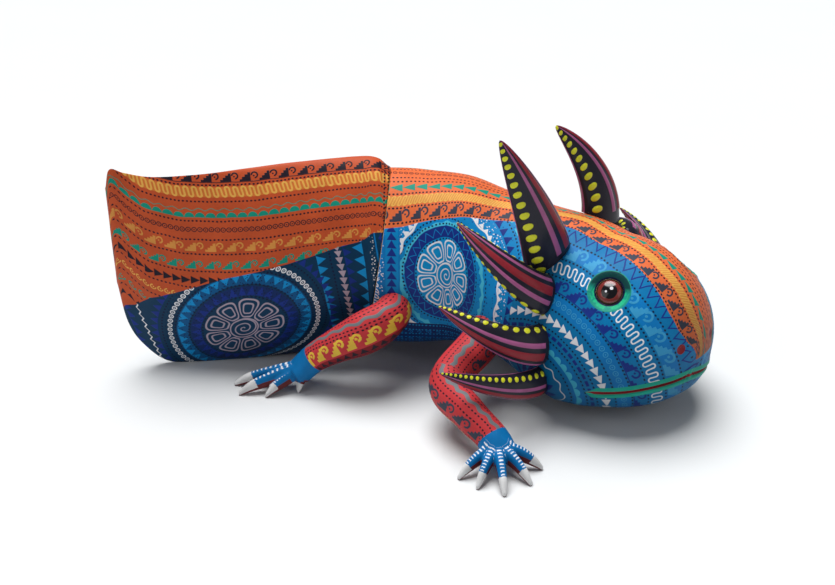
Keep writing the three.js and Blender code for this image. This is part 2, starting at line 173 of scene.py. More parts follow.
def plan_direction(rows, u, step=1e-3):
    """Which way the curve through the rows runs in plan, at row numbers u."""
    ahead = spline(rows, np.minimum(u + step, len(rows) - 1))
    behind = spline(rows, np.maximum(u - step, 0))
    return unit((ahead - behind)[..., :2])


def power(value, exponent):
    return np.sign(value) * np.abs(value) ** exponent


def upright_section(row, direction, angle):
    """A point of the superellipse section that stands across the plan direction."""
    x, y, half, wide_z, top, bottom, above, below = np.moveaxis(row, -1, 0)
    upper = np.sin(angle) >= 0
    exponent = 2 / np.where(upper, above, below)
    across = half * power(np.cos(angle), exponent)
    up = power(np.sin(angle), exponent) * np.where(upper, top - wide_z, wide_z - bottom)
    return np.stack([x - direction[..., 1] * across, y + direction[..., 0] * across, wide_z + up], -1)


def grown(rows, grow):
    """The stations of the same form, larger by grow all over."""
    return rows + grow * np.array([0, 0, 1, 0, 1, -1, 0, 0])


def snout_rows(u, grow):
    """Stations and plan directions in the closing of the snout, where u runs from 0 to 1."""
    rows = grown(TRUNK, grow)
    base = rows[-1]
    along = np.sin(u * math.pi / 2)[..., None]
    across = np.cos(u * math.pi / 2)
    start, end = base[:2], np.array([NOSE["x"], NOSE["y"]])
    reach = np.linalg.norm(end - start)
    end = end + (end - start) / reach * grow
    knee = start + plan_direction(rows, np.array(len(rows) - 1.0)) * reach / 2
    centre = start * (1 - along) ** 2 + knee * 2 * along * (1 - along) + end * along**2
    direction = unit((knee - start) * (1 - along) + (end - knee) * along)
    wide_z = base[3] + (NOSE["z"] - base[3]) * along[..., 0]
    roof = across ** (2 / NOSE["roof"])
    chin = across ** (2 / NOSE["chin"])
    row = np.stack([
        centre[..., 0], centre[..., 1], base[2] * across ** (2 / NOSE["blunt"]), wide_z,
        wide_z + (base[4] - base[3]) * roof, wide_z - (base[3] - base[5]) * chin,
        np.full_like(wide_z, base[6]), np.full_like(wide_z, base[7]),
    ], -1)
    return row, direction


def trunk_point(u, angle, grow=0.0):
    """A point on trunk or head: u counts the stations, and the snout closes in one more."""
    u, angle = np.broadcast_arrays(np.asarray(u, float), angle)
    last = len(TRUNK) - 1
    rows = grown(TRUNK, grow)
    low = np.minimum(u, last)
    row, direction = spline(rows, low), plan_direction(rows, low)
    closing = (u > last)[..., None]
    snout_row, snout_direction = snout_rows(np.clip(u - last, 0, 1), grow)
    return upright_section(np.where(closing, snout_row, row),
                           np.where(closing, snout_direction, direction), angle)


def tail_point(u, angle):
    """A point on the tail. Its trailing edge is rounded, and its foot is flat on the floor."""
    u, angle = np.broadcast_arrays(np.asarray(u, float), angle)
    row = spline(TAIL, u)
    last = len(TAIL) - 1
    closing = np.sqrt(1 - np.clip((u - last + 0.5) / 0.5, 0, 1) ** 2)
    row[..., 2] *= closing
    point = upright_section(row, plan_direction(TAIL, u), angle)
    point[..., 2] = np.maximum(point[..., 2], 0)
    return point


def seam_plane(gap):
    """(a point on the seam, its normal towards the head), moved by gap along the normal."""
    normal = np.array([math.cos(SEAM["lean"]), 0, -math.sin(SEAM["lean"])])
    return np.array([SEAM["x"], TAIL[0][1], SEAM["z"]]) + normal * gap, normal


def where_seam(point_at, angles, low, high, gap):
    """The u of the seam at each angle, found by halving."""
    point, normal = seam_plane(gap)
    low, high = np.full(len(angles), low), np.full(len(angles), high)
    rising = (point_at(high, angles) - point) @ normal > 0
    for _ in range(40):
        u = (low + high) / 2
        beyond = ((point_at(u, angles) - point) @ normal > 0) == rising
        low, high = np.where(beyond, low, u), np.where(beyond, u, high)
    return (low + high) / 2


# ------------------------------------------------------------------ meshes


def grid_faces(rings, around, start=0):
    """Quads between closed rings of points."""
    i, k = np.meshgrid(np.arange(rings - 1), np.arange(around), indexing="ij")
    next_k = (k + 1) % around
    a, b = start + i * around + k, start + i * around + next_k
    return np.stack([a, b, b + around, a + around], -1).reshape(-1, 4)


def fan_faces(ring_start, around, centre, flip=False):
    k = np.arange(around)
    a, b = ring_start + k, ring_start + (k + 1) % around
    faces = np.stack([b, a, np.full(around, centre)], -1)
    return faces[:, ::-1] if flip else faces


def capped(points, tip=None):
    """(points, faces) of a closed skin: a grid of rings, with a fan of faces over either end."""
    rings, around = points.shape[:2]
    n = rings * around
    ends = [points[-1].mean(0) if tip is None else tip, points[0].mean(0)]
    faces = [*grid_faces(rings, around), *fan_faces(n - around, around, n, True),
             *fan_faces(0, around, n + 1)]
    return np.concatenate([points.reshape(-1, 3), ends]), faces


def capped_fields(fields):
    """The fields of a grid, with the values of the two end points that capped adds."""
    return {name: [np.concatenate([v.reshape(-1), [v[-1].mean(), v[0].mean()]])
                   for v in np.broadcast_arrays(*values)] for name, values in fields.items()}


def new_mesh(name, points, faces, materials=(), face_slots=None):
    """A smooth-shaded object from points in millimetres in the carving's frame."""
    mesh = bpy.data.meshes.new(name)
    places = (np.asarray(points) - MIDDLE) * MM
    mesh.from_pydata(places.tolist(), [], [list(map(int, face)) for face in faces])
    for material in materials:
        mesh.materials.append(material)
    if face_slots is not None:
        mesh.polygons.foreach_set("material_index", np.asarray(face_slots, np.int32))
    mesh.polygons.foreach_set("use_smooth", np.ones(len(mesh.polygons), bool))
    obj = bpy.data.objects.new(name, mesh)
    bpy.context.scene.collection.objects.link(obj)
    return obj


def facing_out(obj):
    """Turns the object's faces so that they face out."""
    mesh = obj.data
    points = read_points(obj)
    mesh.calc_loop_triangles()
    corners = np.zeros(len(mesh.loop_triangles) * 3, np.int32)
    mesh.loop_triangles.foreach_get("vertices", corners)
    a, b, c = np.moveaxis(points[corners.reshape(-1, 3)], 1, 0)
    if np.einsum("ij,ij->", a, np.cross(b, c)) < 0:
        mesh.flip_normals()
    return obj


def read_points(obj):
    """The object's points, in millimetres in the carving's frame."""
    flat = np.zeros(len(obj.data.vertices) * 3, np.float32)
    obj.data.vertices.foreach_get("co", flat)
    return flat.reshape(-1, 3).astype(float) / MM + MIDDLE


def write_points(obj, points):
    flat = ((points - MIDDLE) * MM).astype(np.float32).ravel()
    obj.data.vertices.foreach_set("co", flat)
    obj.data.update()


def read_normals(obj):
    flat = np.zeros(len(obj.data.vertices) * 3, np.float32)
    obj.data.vertex_normals.foreach_get("vector", flat)
    return flat.reshape(-1, 3).astype(float)


def write_fields(obj, fields):
    """Stores what the paint needs to know at each point, three numbers to a name."""
    for name, values in fields.items():
        attribute = obj.data.attributes.new(name, "FLOAT_VECTOR", "POINT")
        attribute.data.foreach_set("vector", np.stack(values, -1).astype(np.float32).ravel())


def apply_modifiers(obj):
    evaluated = obj.evaluated_get(bpy.context.evaluated_depsgraph_get())
    mesh = bpy.data.meshes.new_from_object(evaluated)
    obj.modifiers.clear()
    old, obj.data = obj.data, mesh
    bpy.data.meshes.remove(old)
    return obj


def joined(objects):
    """One object out of several, in the place of the first."""
    with bpy.context.temp_override(active_object=objects[0], selected_editable_objects=objects):
        bpy.ops.object.join()
    return objects[0]


def boolean(obj, cutter, operation):
    """Cuts or adds another closed mesh. The cutter's faces keep their own material slot."""
    modifier = obj.modifiers.new("cut", "BOOLEAN")
    modifier.object = cutter
    modifier.operation = operation
    modifier.solver = "MANIFOLD"
    apply_modifiers(obj)
    bpy.data.objects.remove(cutter)
    return obj


def carry_fields(obj, points, fields):
    """The fields of the nearest of the points, for a mesh that was cut or joined since."""
    tree = KDTree(len(points))
    for i, point in enumerate(points):
        tree.insert(point, i)
    tree.balance()
    nearest = np.array([tree.find(point)[1] for point in read_points(obj)])
    return {name: [np.asarray(v)[nearest] for v in values] for name, values in fields.items()}


def turned(name, at, along, profile, materials, slot, count=48):
    """A turned piece about the line from at along along. The profile is (radius, distance) pairs."""
    along = unit(along)
    side = unit(np.cross(along, (0, 0, 1) if abs(along[2]) < 0.9 else (1, 0, 0)))
    other = np.cross(along, side)
    angle = np.arange(count) * 2 * math.pi / count
    ring = np.outer(np.cos(angle), side) + np.outer(np.sin(angle), other)
    inner = [(r, d) for r, d in profile if r > 0]
    points = [np.asarray(at) + along * d + ring * r for r, d in inner]
    ends = [np.asarray(at) + along * profile[0][1], np.asarray(at) + along * profile[-1][1]]
    points = np.concatenate([*points, np.array(ends)])
    n = len(inner) * count
    faces = [*grid_faces(len(inner), count), *fan_faces(0, count, n),
             *fan_faces(n - count, count, n + 1, True)]
    return facing_out(new_mesh(name, points, faces, materials, [slot] * len(faces)))


def rod_profile(radius, start, end, chamfer=0.0):
    """A plain rod, its edges cut by chamfer."""
    if chamfer <= 0:
        return [(0, start), (radius, start), (radius, end), (0, end)]
    return [(0, start), (radius - chamfer, start), (radius, start + chamfer),
            (radius, end - chamfer), (radius - chamfer, end), (0, end)]


def bore(at, along, radius, ends, materials):
    """The cutter of a round hole for a peg of this radius, its wall in bare wood."""
    return turned("bore", at, along, rod_profile(radius + BORE_GAP, *ends), materials, BARE)


def block(name, low, high, materials):
    """A closed box from corner to corner, in bare wood."""
    corners = np.array([[x, y, z] for x in (low[0], high[0]) for y in (low[1], high[1])
                        for z in (low[2], high[2])])
    faces = [(0, 1, 3, 2), (4, 6, 7, 5), (0, 4, 5, 1), (2, 3, 7, 6), (0, 2, 6, 4), (1, 5, 7, 3)]
    return facing_out(new_mesh(name, corners, faces, materials, [BARE] * 6))


# ------------------------------------------------------------------ the left side


def middle_plane(place):
    """(a point, the direction across) of the upright plane along the spine abreast of a place."""
    u = np.arange(0, len(TRUNK) - 1, 0.01)
    spine = spline(TRUNK, u)[:, :2]
    nearest = np.argmin(np.linalg.norm(spine - np.asarray(place[:2], float), axis=1))
    ahead = plan_direction(TRUNK, u[nearest])
    return np.array([*spine[nearest], 0.0]), np.array([-ahead[1], ahead[0], 0.0])


def mirror_direction(plane, direction):
    direction = np.asarray(direction, float)
    return direction - 2 * (direction @ plane[1])[..., None] * plane[1]


def mirror_point(plane, point):
    return mirror_direction(plane, np.asarray(point, float) - plane[0]) + plane[0]


def left_gill(gill):
    plane = middle_plane(gill["base"])
    return {
        **gill,
        "base": mirror_point(plane, gill["base"]),
        "peg": mirror_direction(plane, gill["peg"]),
        "side": mirror_direction(plane, gill["side"]),
        "tip": mirror_point(plane, gill["tip"]),
        "turn": -gill["turn"],
        **gill["left"],
    }


def left_leg(leg):
    plane = middle_plane(leg["limb"][0])
    limb = leg["limb"].copy()
    limb[:, :3] = mirror_point(plane, limb[:, :3])
    return {
        "limb": limb,
        "toes": [tuple(mirror_point(plane, (x, y, 0))[:2]) for x, y in leg["toes"]],
        "dowel": {"at": mirror_point(plane, leg["dowel"]["at"]),
                  "along": mirror_direction(plane, leg["dowel"]["along"])},
    }


ALL_GILLS = {f"gill_right_{k + 1}": gill for k, gill in enumerate(GILLS)}
ALL_GILLS.update({f"gill_left_{k + 1}": left_gill(gill) for k, gill in enumerate(GILLS)})
ALL_LEGS = {
    "fore_leg_right": FORE, "fore_leg_left": left_leg(FORE),
    "hind_leg_right": HIND, "hind_leg_left": left_leg(HIND),
}

# ------------------------------------------------------------------ trunk and head

RING_STEP = 1.15         # spacing of the rings along trunk and tail
FINE = 4000              # samples of a curve whose length is measured
BODY_AROUND = 288
TAIL_AROUND = 264
SNOUT_RINGS = 56
RIDGE = math.pi / 2      # section angle of the back

# How the painted crest runs along the back: u, then girth from the top of the section, positive to
# the left: its middle line, its pattern's half width, and its right and left edges.
CREST = np.array([
    [0.5, -3, 43, -46, 40],
    [1.3, -2, 42, -43.5, 40],
    [2.1, 0, 40, -38.5, 39],
    [2.9, 3, 38.5, -34.4, 38],
    [3.7, 8, 37, -27.5, 38],
    [4.5, 14, 36, -20.5, 39],
    [5.4, 21, 36, -12.5, 40],
    [6.2, 25.4, 37, -10, 40],
    [7.0, 25, 38, -10, 38],
    [7.2, 22.8, 38, -12.7, 34],
    [7.4, 21.5, 38, -14.2, 34],
    [7.63, 23, 38, -14.2, 37],
    [7.76, 25.5, 38, -11, 40],
    [7.88, 31, 38, -4.2, 45],
    [8.0, 42, 38, 8, 54],
])
CREST_END_Z = 49.0
CREST_HALF = 36.0        # half width of the crest's pattern as the paint counts it
ROSETTE_U = 2.69         # station of the rosette on the flank
ROSETTE_GIRTH = 73.0     # and how far down from the back it is
LEFT_SQUEEZE = 0.9       # the left flank is longer, as the body bends to the right
HEAD_START = np.array([109.0, 24.0])     # the head is symmetric about the line from here to the nose
CHEEK_POLE = np.array([69.0, -40.0, 20.0])       # the bands of the cheek are arcs about this point
CHEEK_AXIS = np.array([-0.35, -0.845, 0.40])
CHEEK_MIDDLE = 80.0      # radius of the arc in the middle of the cheek
NECK_U = 5.35            # where the head's bands take over from the flank's
NECK_STATION = 25.0      # millimetres between stations there
MOUTH = {"front_z": 40.0, "drop": 7.5, "bend": 2.2, "half": 53.0, "lean": 0.18,
         "back": 25.0, "lip": 4.4, "lip_high": 1.1, "slit": 1.0, "slit_deep": 2.4, "taper": 5.0}
RIM = {"out": 0.6, "width": 1.3, "high": 0.7}    # the raised ring round an eye's dish
NOSTRIL = {"right": (167.5, -47.7, 60.8), "left": (190.4, -24.0, 59.0), "radius": 3.6, "deep": 1.1}


def arc_lengths(points, axis):
    """Running length along one axis of a grid of points, from its start."""
    steps = np.linalg.norm(np.diff(points, axis=axis), axis=-1)
    return np.concatenate([np.zeros_like(np.take(steps, [0], axis)), np.cumsum(steps, axis)], axis)


def stations(point_at, first, last, angle=0.0, step=RING_STEP):
    """Station numbers from first to last, spaced evenly along the surface."""
    fine = np.linspace(first, last, FINE)
    length = arc_lengths(point_at(fine, np.full_like(fine, angle)), 0)
    return np.interp(np.linspace(0, length[-1], int(length[-1] / step)), length, fine)


def length_at(point_at, last, u, angle, zero):
    """Length along the surface at one section angle, at station numbers u, from station zero."""
    fine = np.linspace(0, last, FINE)
    run = arc_lengths(point_at(fine, np.full_like(fine, angle)), 0)
    return np.interp(u, fine, run) - np.interp(zero, fine, run)


def leaning_start(u, seam, blend):
    """Rings at u, the first of them moved to the seam at each angle, with the move fading over blend."""
    fade = np.clip(1 - (u - seam.max()) / blend, 0, 1)[:, None]
    return u[:, None] + fade * (seam - seam.max())


def body_grid():
    """(u, angle) of each grid point, ring by ring from the seam to just before the nose."""
    angles = -RIDGE + np.arange(BODY_AROUND) * 2 * math.pi / BODY_AROUND
    seam = where_seam(trunk_point, angles, 0.0, 2.0, 0.0)
    last = len(TRUNK) - 1
    straight = stations(trunk_point, seam.max(), last, RIDGE)
    closing = last + np.arange(1, SNOUT_RINGS) / SNOUT_RINGS
    u = leaning_start(np.concatenate([straight, closing]), seam, 1.5)
    return u, np.broadcast_to(angles, u.shape)


def head_coordinates(points):
    """(how far forward, how far to the left) of the head's plane of symmetry."""
    ahead = unit(np.array([NOSE["x"], NOSE["y"]]) - HEAD_START)
    offset = points[..., :2] - HEAD_START
    return offset @ ahead, offset @ np.array([-ahead[1], ahead[0]])


def head_mirrored(points):
    """The points on the other side of the head's plane of symmetry."""
    ahead = unit(np.array([NOSE["x"], NOSE["y"]]) - HEAD_START)
    left = np.array([-ahead[1], ahead[0]])
    out = np.array(points, float)
    out[..., :2] -= 2 * ((out[..., :2] - HEAD_START) @ left)[..., None] * left
    return out


def girth_from_ridge(points):
    """Length round each ring from the back, positive to the left."""
    half = BODY_AROUND // 2
    loop = np.concatenate([points, points[:, :1]], 1)
    length = arc_lengths(loop, 1)
    return (length[:, half:half + 1] - length)[:, :-1]


def crest_fields(u, points, girth, length):
    """Length along the back, place across the crest, and how far inside its edge."""
    table = [np.interp(u, CREST[:, 0], CREST[:, k]) for k in range(1, 5)]
    middle, half, right, left = table
    across = (middle - girth) / half * CREST_HALF
    edge = np.minimum(np.minimum(girth - right, left - girth), points[..., 2] - CREST_END_Z)
    return length, across, edge


def flank_fields(u, girth, length):
    """Place forward and up from the rosette's centre, and which side it is on."""
    right = girth < 0
    forward_right = length - length_at(trunk_point, len(TRUNK), ROSETTE_U, RIDGE, 1.0)
    forward_left = length_at(trunk_point, len(TRUNK), u, 0.0, ROSETTE_U) * LEFT_SQUEEZE
    forward = np.where(right, forward_right, forward_left)
    return forward, ROSETTE_GIRTH - np.abs(girth), np.where(right, -1.0, 1.0)


def cheek_fields(u, points):
    """Distance from the cheek's pole, angle round it, and how far in front of the neck."""
    _, left = head_coordinates(points)
    folded = np.where((left > 0)[..., None], head_mirrored(points), points)
    offset = folded - CHEEK_POLE
    axis = unit(CHEEK_AXIS)
    up = upwards(axis)
    angle = np.arctan2(offset @ up, offset @ np.cross(up, axis))
    return np.linalg.norm(offset, axis=-1), angle, (u - NECK_U) * NECK_STATION


def mouth_fields(points):
    """Height above the line of the mouth, how far inside its corners, and distance from a nostril."""
    forward, left = head_coordinates(points)
    line = MOUTH["front_z"] - MOUTH["drop"] * (np.abs(left) / MOUTH["half"]) ** MOUTH["bend"]
    line = line - MOUTH["lean"] * np.maximum(left, 0)
    corner = np.minimum(MOUTH["half"] - np.abs(left), forward - MOUTH["back"])
    from_nostrils = [np.linalg.norm(points - NOSTRIL[side], axis=-1) for side in ("right", "left")]
    nostril = np.minimum(*from_nostrils)
    return points[..., 2] - line, corner, nostril


def upwards(axis):
    """The direction square to the axis that points up the most."""
    return unit(np.array([0, 0, 1.0]) - axis[..., 2:] * axis)


def from_eye(points, eye):
    """(distance from the eye's axis, height along the axis, how far up from its centre)."""
    axis = unit(eye["axis"])
    offset = points - np.array(eye["at"])
    height = offset @ axis
    return np.linalg.norm(offset - height[..., None] * axis, axis=-1), height, offset @ upwards(axis)


def socket_fields(points):
    """What from_eye gives for the nearest eye."""
    nearest = [np.full(points.shape[:-1], 1e3), np.zeros(points.shape[:-1]), np.zeros(points.shape[:-1])]
    for eye in EYES.values():
        values = from_eye(points, eye)
        closer = (values[0] < nearest[0]) & (np.abs(values[1]) < 2 * DISH["radius"])
        nearest = [np.where(closer, value, old) for value, old in zip(values, nearest)]
    return nearest


def bump(distance, width):
    """1 at the middle of a mark, fading to 0 over its width."""
    return np.exp(-((distance / width) ** 2))


def hand_carving(points, size=0.22):
    """Shallow unevenness such as a knife and sandpaper leave."""
    x, y, z = np.moveaxis(points, -1, 0)
    wide = np.sin(x / 11 + 1.3 * np.sin(y / 17)) * np.sin(z / 13 + np.sin(x / 19))
    fine = np.sin(y / 5.1 + np.sin(z / 7)) * np.sin(x / 6.3 + np.sin(y / 9))
    return size * (wide + 0.4 * fine)


def carve_body(points, normals, fields):
    """Moves the points of the smooth body to carve the mouth, the nostrils and the eyes' dishes."""
    lip, corner, nostril = fields["mouth"]
    inside = np.clip(corner / MOUTH["taper"], 0, 1)
    lips = MOUTH["lip_high"] * bump(lip, MOUTH["lip"])
    slit = MOUTH["slit_deep"] * bump(lip, MOUTH["slit"])
    depth = hand_carving(points) + inside * (lips - slit)
    depth = depth - NOSTRIL["deep"] * bump(nostril, NOSTRIL["radius"])
    from_rim = fields["socket"][0] - DISH["radius"] - RIM["out"]
    depth = depth + RIM["high"] * bump(from_rim, RIM["width"])
    points = points + depth[..., None] * normals
    ball = (DISH["radius"] ** 2 + DISH["depth"] ** 2) / (2 * DISH["depth"])
    for eye in EYES.values():
        radius, height, _ = from_eye(points, eye)
        floor = ball - DISH["depth"] - np.sqrt(np.maximum(ball**2 - radius**2, 0))
        sink = (radius < DISH["radius"] + 4) & (height > floor) & (np.abs(height) < DISH["radius"])
        points = points + np.where(sink, floor - height, 0)[..., None] * unit(eye["axis"])
    return points


def grid_normals(points):
    """Outward normals of a grid of rings."""
    along = np.gradient(points, axis=0)
    around = (np.roll(points, -1, 1) - np.roll(points, 1, 1)) / 2
    return unit(np.cross(around, along) + 1e-12)


def make_body(materials):
    u, angle = body_grid()
    points = trunk_point(u, angle)
    girth = girth_from_ridge(points)
    length = length_at(trunk_point, len(TRUNK), u, RIDGE, 1.0)
    fields = {
        "crest": crest_fields(u, points, girth, length),
        "flank": flank_fields(u, girth, length),
        "cheek": cheek_fields(u, points),
        "mouth": mouth_fields(points),
        "socket": socket_fields(points),
    }
    carved = carve_body(points, grid_normals(points), fields)
    all_points, faces = capped(carved)
    slots = [PAINTED] * (len(faces) - BODY_AROUND) + [BARE] * BODY_AROUND
    body = facing_out(new_mesh("carved_trunk_and_head", all_points, faces, materials, slots))
    for cutter in body_cutters(materials):
        boolean(body, cutter, "DIFFERENCE")
    write_fields(body, carry_fields(body, all_points, capped_fields(fields)))
    return body


def body_cutters(materials):
    """The mortise of the tail and the bores of gills, dowels and eyes, their walls in bare wood."""
    y, z = TENON["y"], TENON["z"]
    half, high = TENON["width"] / 2 + BORE_GAP, TENON["height"] / 2 + BORE_GAP
    low_corner = (TENON["from"] - 10, y - half, z - high)
    yield block("mortise", low_corner, (TENON["to"] + BORE_BOTTOM, y + half, z + high), materials)
    for gill in ALL_GILLS.values():
        ends = -PEG["depth"] - BORE_BOTTOM, PEG["depth"]
        yield bore(gill["base"], gill["peg"], PEG["radius"], ends, materials)
    for leg in ALL_LEGS.values():
        ends = -DOWEL["half"], DOWEL["half"] + BORE_BOTTOM
        yield bore(leg["dowel"]["at"], leg["dowel"]["along"], DOWEL["radius"], ends, materials)
    for eye in EYES.values():
        ends = -DISH["depth"] - BEAD["shank"], DISH["depth"]
        yield bore(eye["at"], eye["axis"], BEAD["radius"], ends, materials)


# ------------------------------------------------------------------ tail

# How far the tail's painted bands lie below their place at the middle of the tail: length from the
# seam, shift. They crowd towards the tail's upper tip.
TAIL_SHIFT = np.array([[-6, 8], [0, 5], [6, 1.5], [17, -1], [50, -0.7], [89, 0],
                       [110, 2], [139, 6], [161, 12], [173, 19], [184, 26]])

# How far down from the tail's back its orange reaches: length from the seam, girth.
TAIL_EDGE = np.array([[-6, 40], [0, 43.5], [6, 49], [17, 54.8], [28, 59.4], [50, 64.6],
                      [73, 67.5], [89, 68.6], [111, 69.8], [125, 72.5], [139, 76.2],
                      [150, 79.6], [161, 84], [168, 90], [173, 94.6], [178, 98], [184, 98]])
TAIL_ROSETTE = {"length": 103.0, "girth": 111.3}
TAIL_START = 1.1         # station that the lengths along the tail count from


def tail_fields(u, points, right, ridge):
    """The fields of the tail's paint from its grid: bands, and place from the rosette's centre."""
    length = length_at(lambda v, _: spline(TAIL, v)[..., :2], len(TAIL) - 1, u, 0.0, TAIL_START)
    loop = np.concatenate([points, points[:, :1]], 1)
    run = arc_lengths(loop, 1)
    girth = np.abs(run[:, ridge:ridge + 1] - run)[:, :-1]
    girth = np.minimum(girth, run[:, -1:] - girth)
    band = girth + np.interp(length, *TAIL_SHIFT.T)
    edge = np.interp(length, *TAIL_EDGE.T) - girth
    side = np.broadcast_to(np.where(right, -1.0, 1.0), points.shape[:2])
    return {
        "bands": (length, band, edge),
        "flank": (TAIL_ROSETTE["length"] - length, TAIL_ROSETTE["girth"] - girth, side),
    }


def make_tail(materials):
    angles = -RIDGE + np.arange(TAIL_AROUND) * 2 * math.pi / TAIL_AROUND
    seam = where_seam(tail_point, angles, 0.0, 3.0, -GAP)
    last = len(TAIL) - 1
    u = leaning_start(stations(tail_point, seam.max(), last - 1e-3, RIDGE), seam, 2.5)
    points = tail_point(u, np.broadcast_to(angles, u.shape))
    fields = tail_fields(u, points, np.cos(angles) > 0, TAIL_AROUND // 2)
    points = points + (hand_carving(points) * (points[..., 2] > 1))[..., None] * grid_normals(points)
    points[..., 2] = np.maximum(points[..., 2], 0)
    all_points, faces = capped(points)
    slots = [PAINTED] * (len(faces) - TAIL_AROUND) + [BARE] * TAIL_AROUND
    tail = facing_out(new_mesh("carved_tail", all_points, faces, materials, slots))
    boolean(tail, make_tenon(materials), "UNION")
    write_fields(tail, carry_fields(tail, all_points, capped_fields(fields)))
    return tail


def make_tenon(materials, chamfer=1.2):
    """The square tenon, its free end chamfered."""
    half, high = TENON["width"] / 2, TENON["height"] / 2
    outline = np.array([(-1, -1), (1, -1), (1, 1), (-1, 1)])
    rings = []
    for x, inset in ((TENON["from"], 0), (TENON["to"] - chamfer, 0), (TENON["to"], chamfer)):
        rings.append([(x, TENON["y"] + a * (half - inset), TENON["z"] + b * (high - inset))
                      for a, b in outline])
    points = np.array(rings).reshape(-1, 3)
    faces = [*grid_faces(3, 4), (3, 2, 1, 0), (8, 9, 10, 11)]
    return facing_out(new_mesh("tenon", points, faces, materials, [BARE] * len(faces)))


# ------------------------------------------------------------------ gills

GILL_AROUND = 84
GILL_RINGS = 120
GILL_RELIEF = 0.6         # how much slimmer a gill is under its raised paint
GILL_SUNK = 9.0           # how far a gill reaches into the trunk before its seat is cut
GILL_KNEE = 0.42          # where a gill bends, as a share of its reach
GILL_BLUNT = 0.16         # share of a gill's width that lasts almost to the tip
SEAT_AROUND = 96
GILL_UNIT = 34.0          # width of a gill whose painted pattern has its full size
DOT = {"spacing": 10.2, "radius": 2.35, "squash": 0.8, "high": 0.75}
NARROW = {"at": 0.53, "half": 1.25, "high": 0.45}    # stripes: at is the place from edge to middle
WIDE = {"at": 1.0, "half": 2.6, "high": 0.5}
FACE = 14.0               # from a gill's edge to the middle of its face, at full size


def make_seat():
    """The trunk grown by the gap, which the seats of gills and legs are cut with."""
    angles = -RIDGE + np.arange(SEAT_AROUND) * 2 * math.pi / SEAT_AROUND
    last = len(TRUNK) - 1
    u = np.concatenate([np.linspace(0, last, 100), last + np.arange(1, 24) / 24])
    return capped(trunk_point(u[:, None], angles[None], GAP))


SEAT = make_seat()


def seat_cutter(materials):
    return facing_out(new_mesh("seat", *SEAT, materials, [BARE] * len(SEAT[1])))


def horn_rings(gill):
    """(points, fields) of a gill: rings of an ellipse along a bent centre line."""
    start, end, out = np.array(gill["base"], float), np.array(gill["tip"], float), unit(gill["peg"])
    knee = start + out * np.linalg.norm(end - start) * GILL_KNEE
    f = np.concatenate([[0], np.linspace(0, 1, GILL_RINGS + 1)[:-1]])[:, None]
    centre = start * (1 - f) ** 2 + knee * 2 * f * (1 - f) + end * f**2
    ahead = unit((knee - start) * (1 - f) + (end - knee) * f)
    centre[0] -= out * GILL_SUNK
    taper = GILL_BLUNT * np.sqrt(1 - f**6) + (1 - GILL_BLUNT) * (1 - f**1.5) ** 0.85
    side = np.array(gill["side"], float)
    side = unit(side - (ahead @ side)[:, None] * ahead)
    thick = np.cross(ahead, side)
    angle = np.arange(GILL_AROUND) * 2 * math.pi / GILL_AROUND
    half_wide, half_thick = ((gill[size] / 2 - GILL_RELIEF) * taper for size in ("wide", "thick"))
    points = (centre[:, None] + side[:, None] * (half_wide * np.cos(angle))[..., None]
              + thick[:, None] * (half_thick * np.sin(angle))[..., None])
    quarter = arc_lengths(points[:, :GILL_AROUND // 4 + 1], 1)
    start_at = round(gill["turn"] / 360 * GILL_AROUND)
    column = np.arange(GILL_AROUND) - start_at + GILL_AROUND // 4
    fold = np.abs(column % (GILL_AROUND // 2) - GILL_AROUND // 4)
    from_edge = quarter[:, fold]
    unit_size = (gill["wide"] / GILL_UNIT * (0.32 + 0.68 * taper))
    length = arc_lengths(centre, 0)[:, None]
    beads = np.cumsum(np.diff(length, axis=0, prepend=length[:1]) / (DOT["spacing"] * unit_size), axis=0)
    fields = (np.broadcast_to(beads, from_edge.shape), from_edge / unit_size,
              from_edge / np.maximum(quarter[:, -1:], 1e-6))
    return points, fields, np.broadcast_to(unit_size, from_edge.shape), end


def gill_dots(beads, rim):
    """The row of oval dots round a gill's edge."""
    return DOT["radius"] - span(wrapped(beads, 1.0) * (DOT["spacing"] * DOT["squash"]), rim)


def gill_stripe(kind, beads, face):
    """A stripe along a gill, from a little above its foot to its tip."""
    start = (beads - 1.5) * DOT["spacing"]
    return least(kind["half"] - abs(face - kind["at"]) * FACE, start)


def make_gill(name, gill, materials):
    points, (beads, rim, face), size, tip = horn_rings(gill)
    raised_paint = [(gill_dots(beads, rim), DOT["high"])]
    raised_paint += [(gill_stripe(kind, beads, face), kind["high"]) for kind in (NARROW, WIDE)]
    relief = np.zeros_like(beads)
    for shape, high in raised_paint:
        relief = np.maximum(relief, high * np.clip(shape / 0.9, 0, 1) ** 0.5)
    relief[:2] = 0
    points = points + (relief * size)[..., None] * grid_normals(points)
    all_points, faces = capped(points, tip)
    horn = facing_out(new_mesh("carved_" + name, all_points, faces, materials, [PAINTED] * len(faces)))
    boolean(horn, seat_cutter(materials), "DIFFERENCE")
    profile = rod_profile(PEG["radius"], -PEG["depth"], PEG["root"], 0.8)
    boolean(horn, turned("peg", gill["base"], gill["peg"], profile, materials, BARE), "UNION")
    write_fields(horn, carry_fields(horn, all_points, capped_fields({"horn": (beads, rim, face)})))
    return horn


# ------------------------------------------------------------------ legs

LIMB_AROUND = 48
TOE_AROUND = 28
REMESH = 0.75
WRIST = 1.9              # stations from the end of the limb to where the foot's paint starts
PALM = 1.4               # and to where the toes spring from


def limb_frame(rows, u, step=1e-3):
    """(up, across) at row numbers u: both square to the way that the limb runs."""
    ahead = unit(spline(rows, np.minimum(u + step, len(rows) - 1))[:, :3]
                 - spline(rows, np.maximum(u - step, 0))[:, :3])
    up = upwards(ahead)
    return up, np.cross(ahead, up)


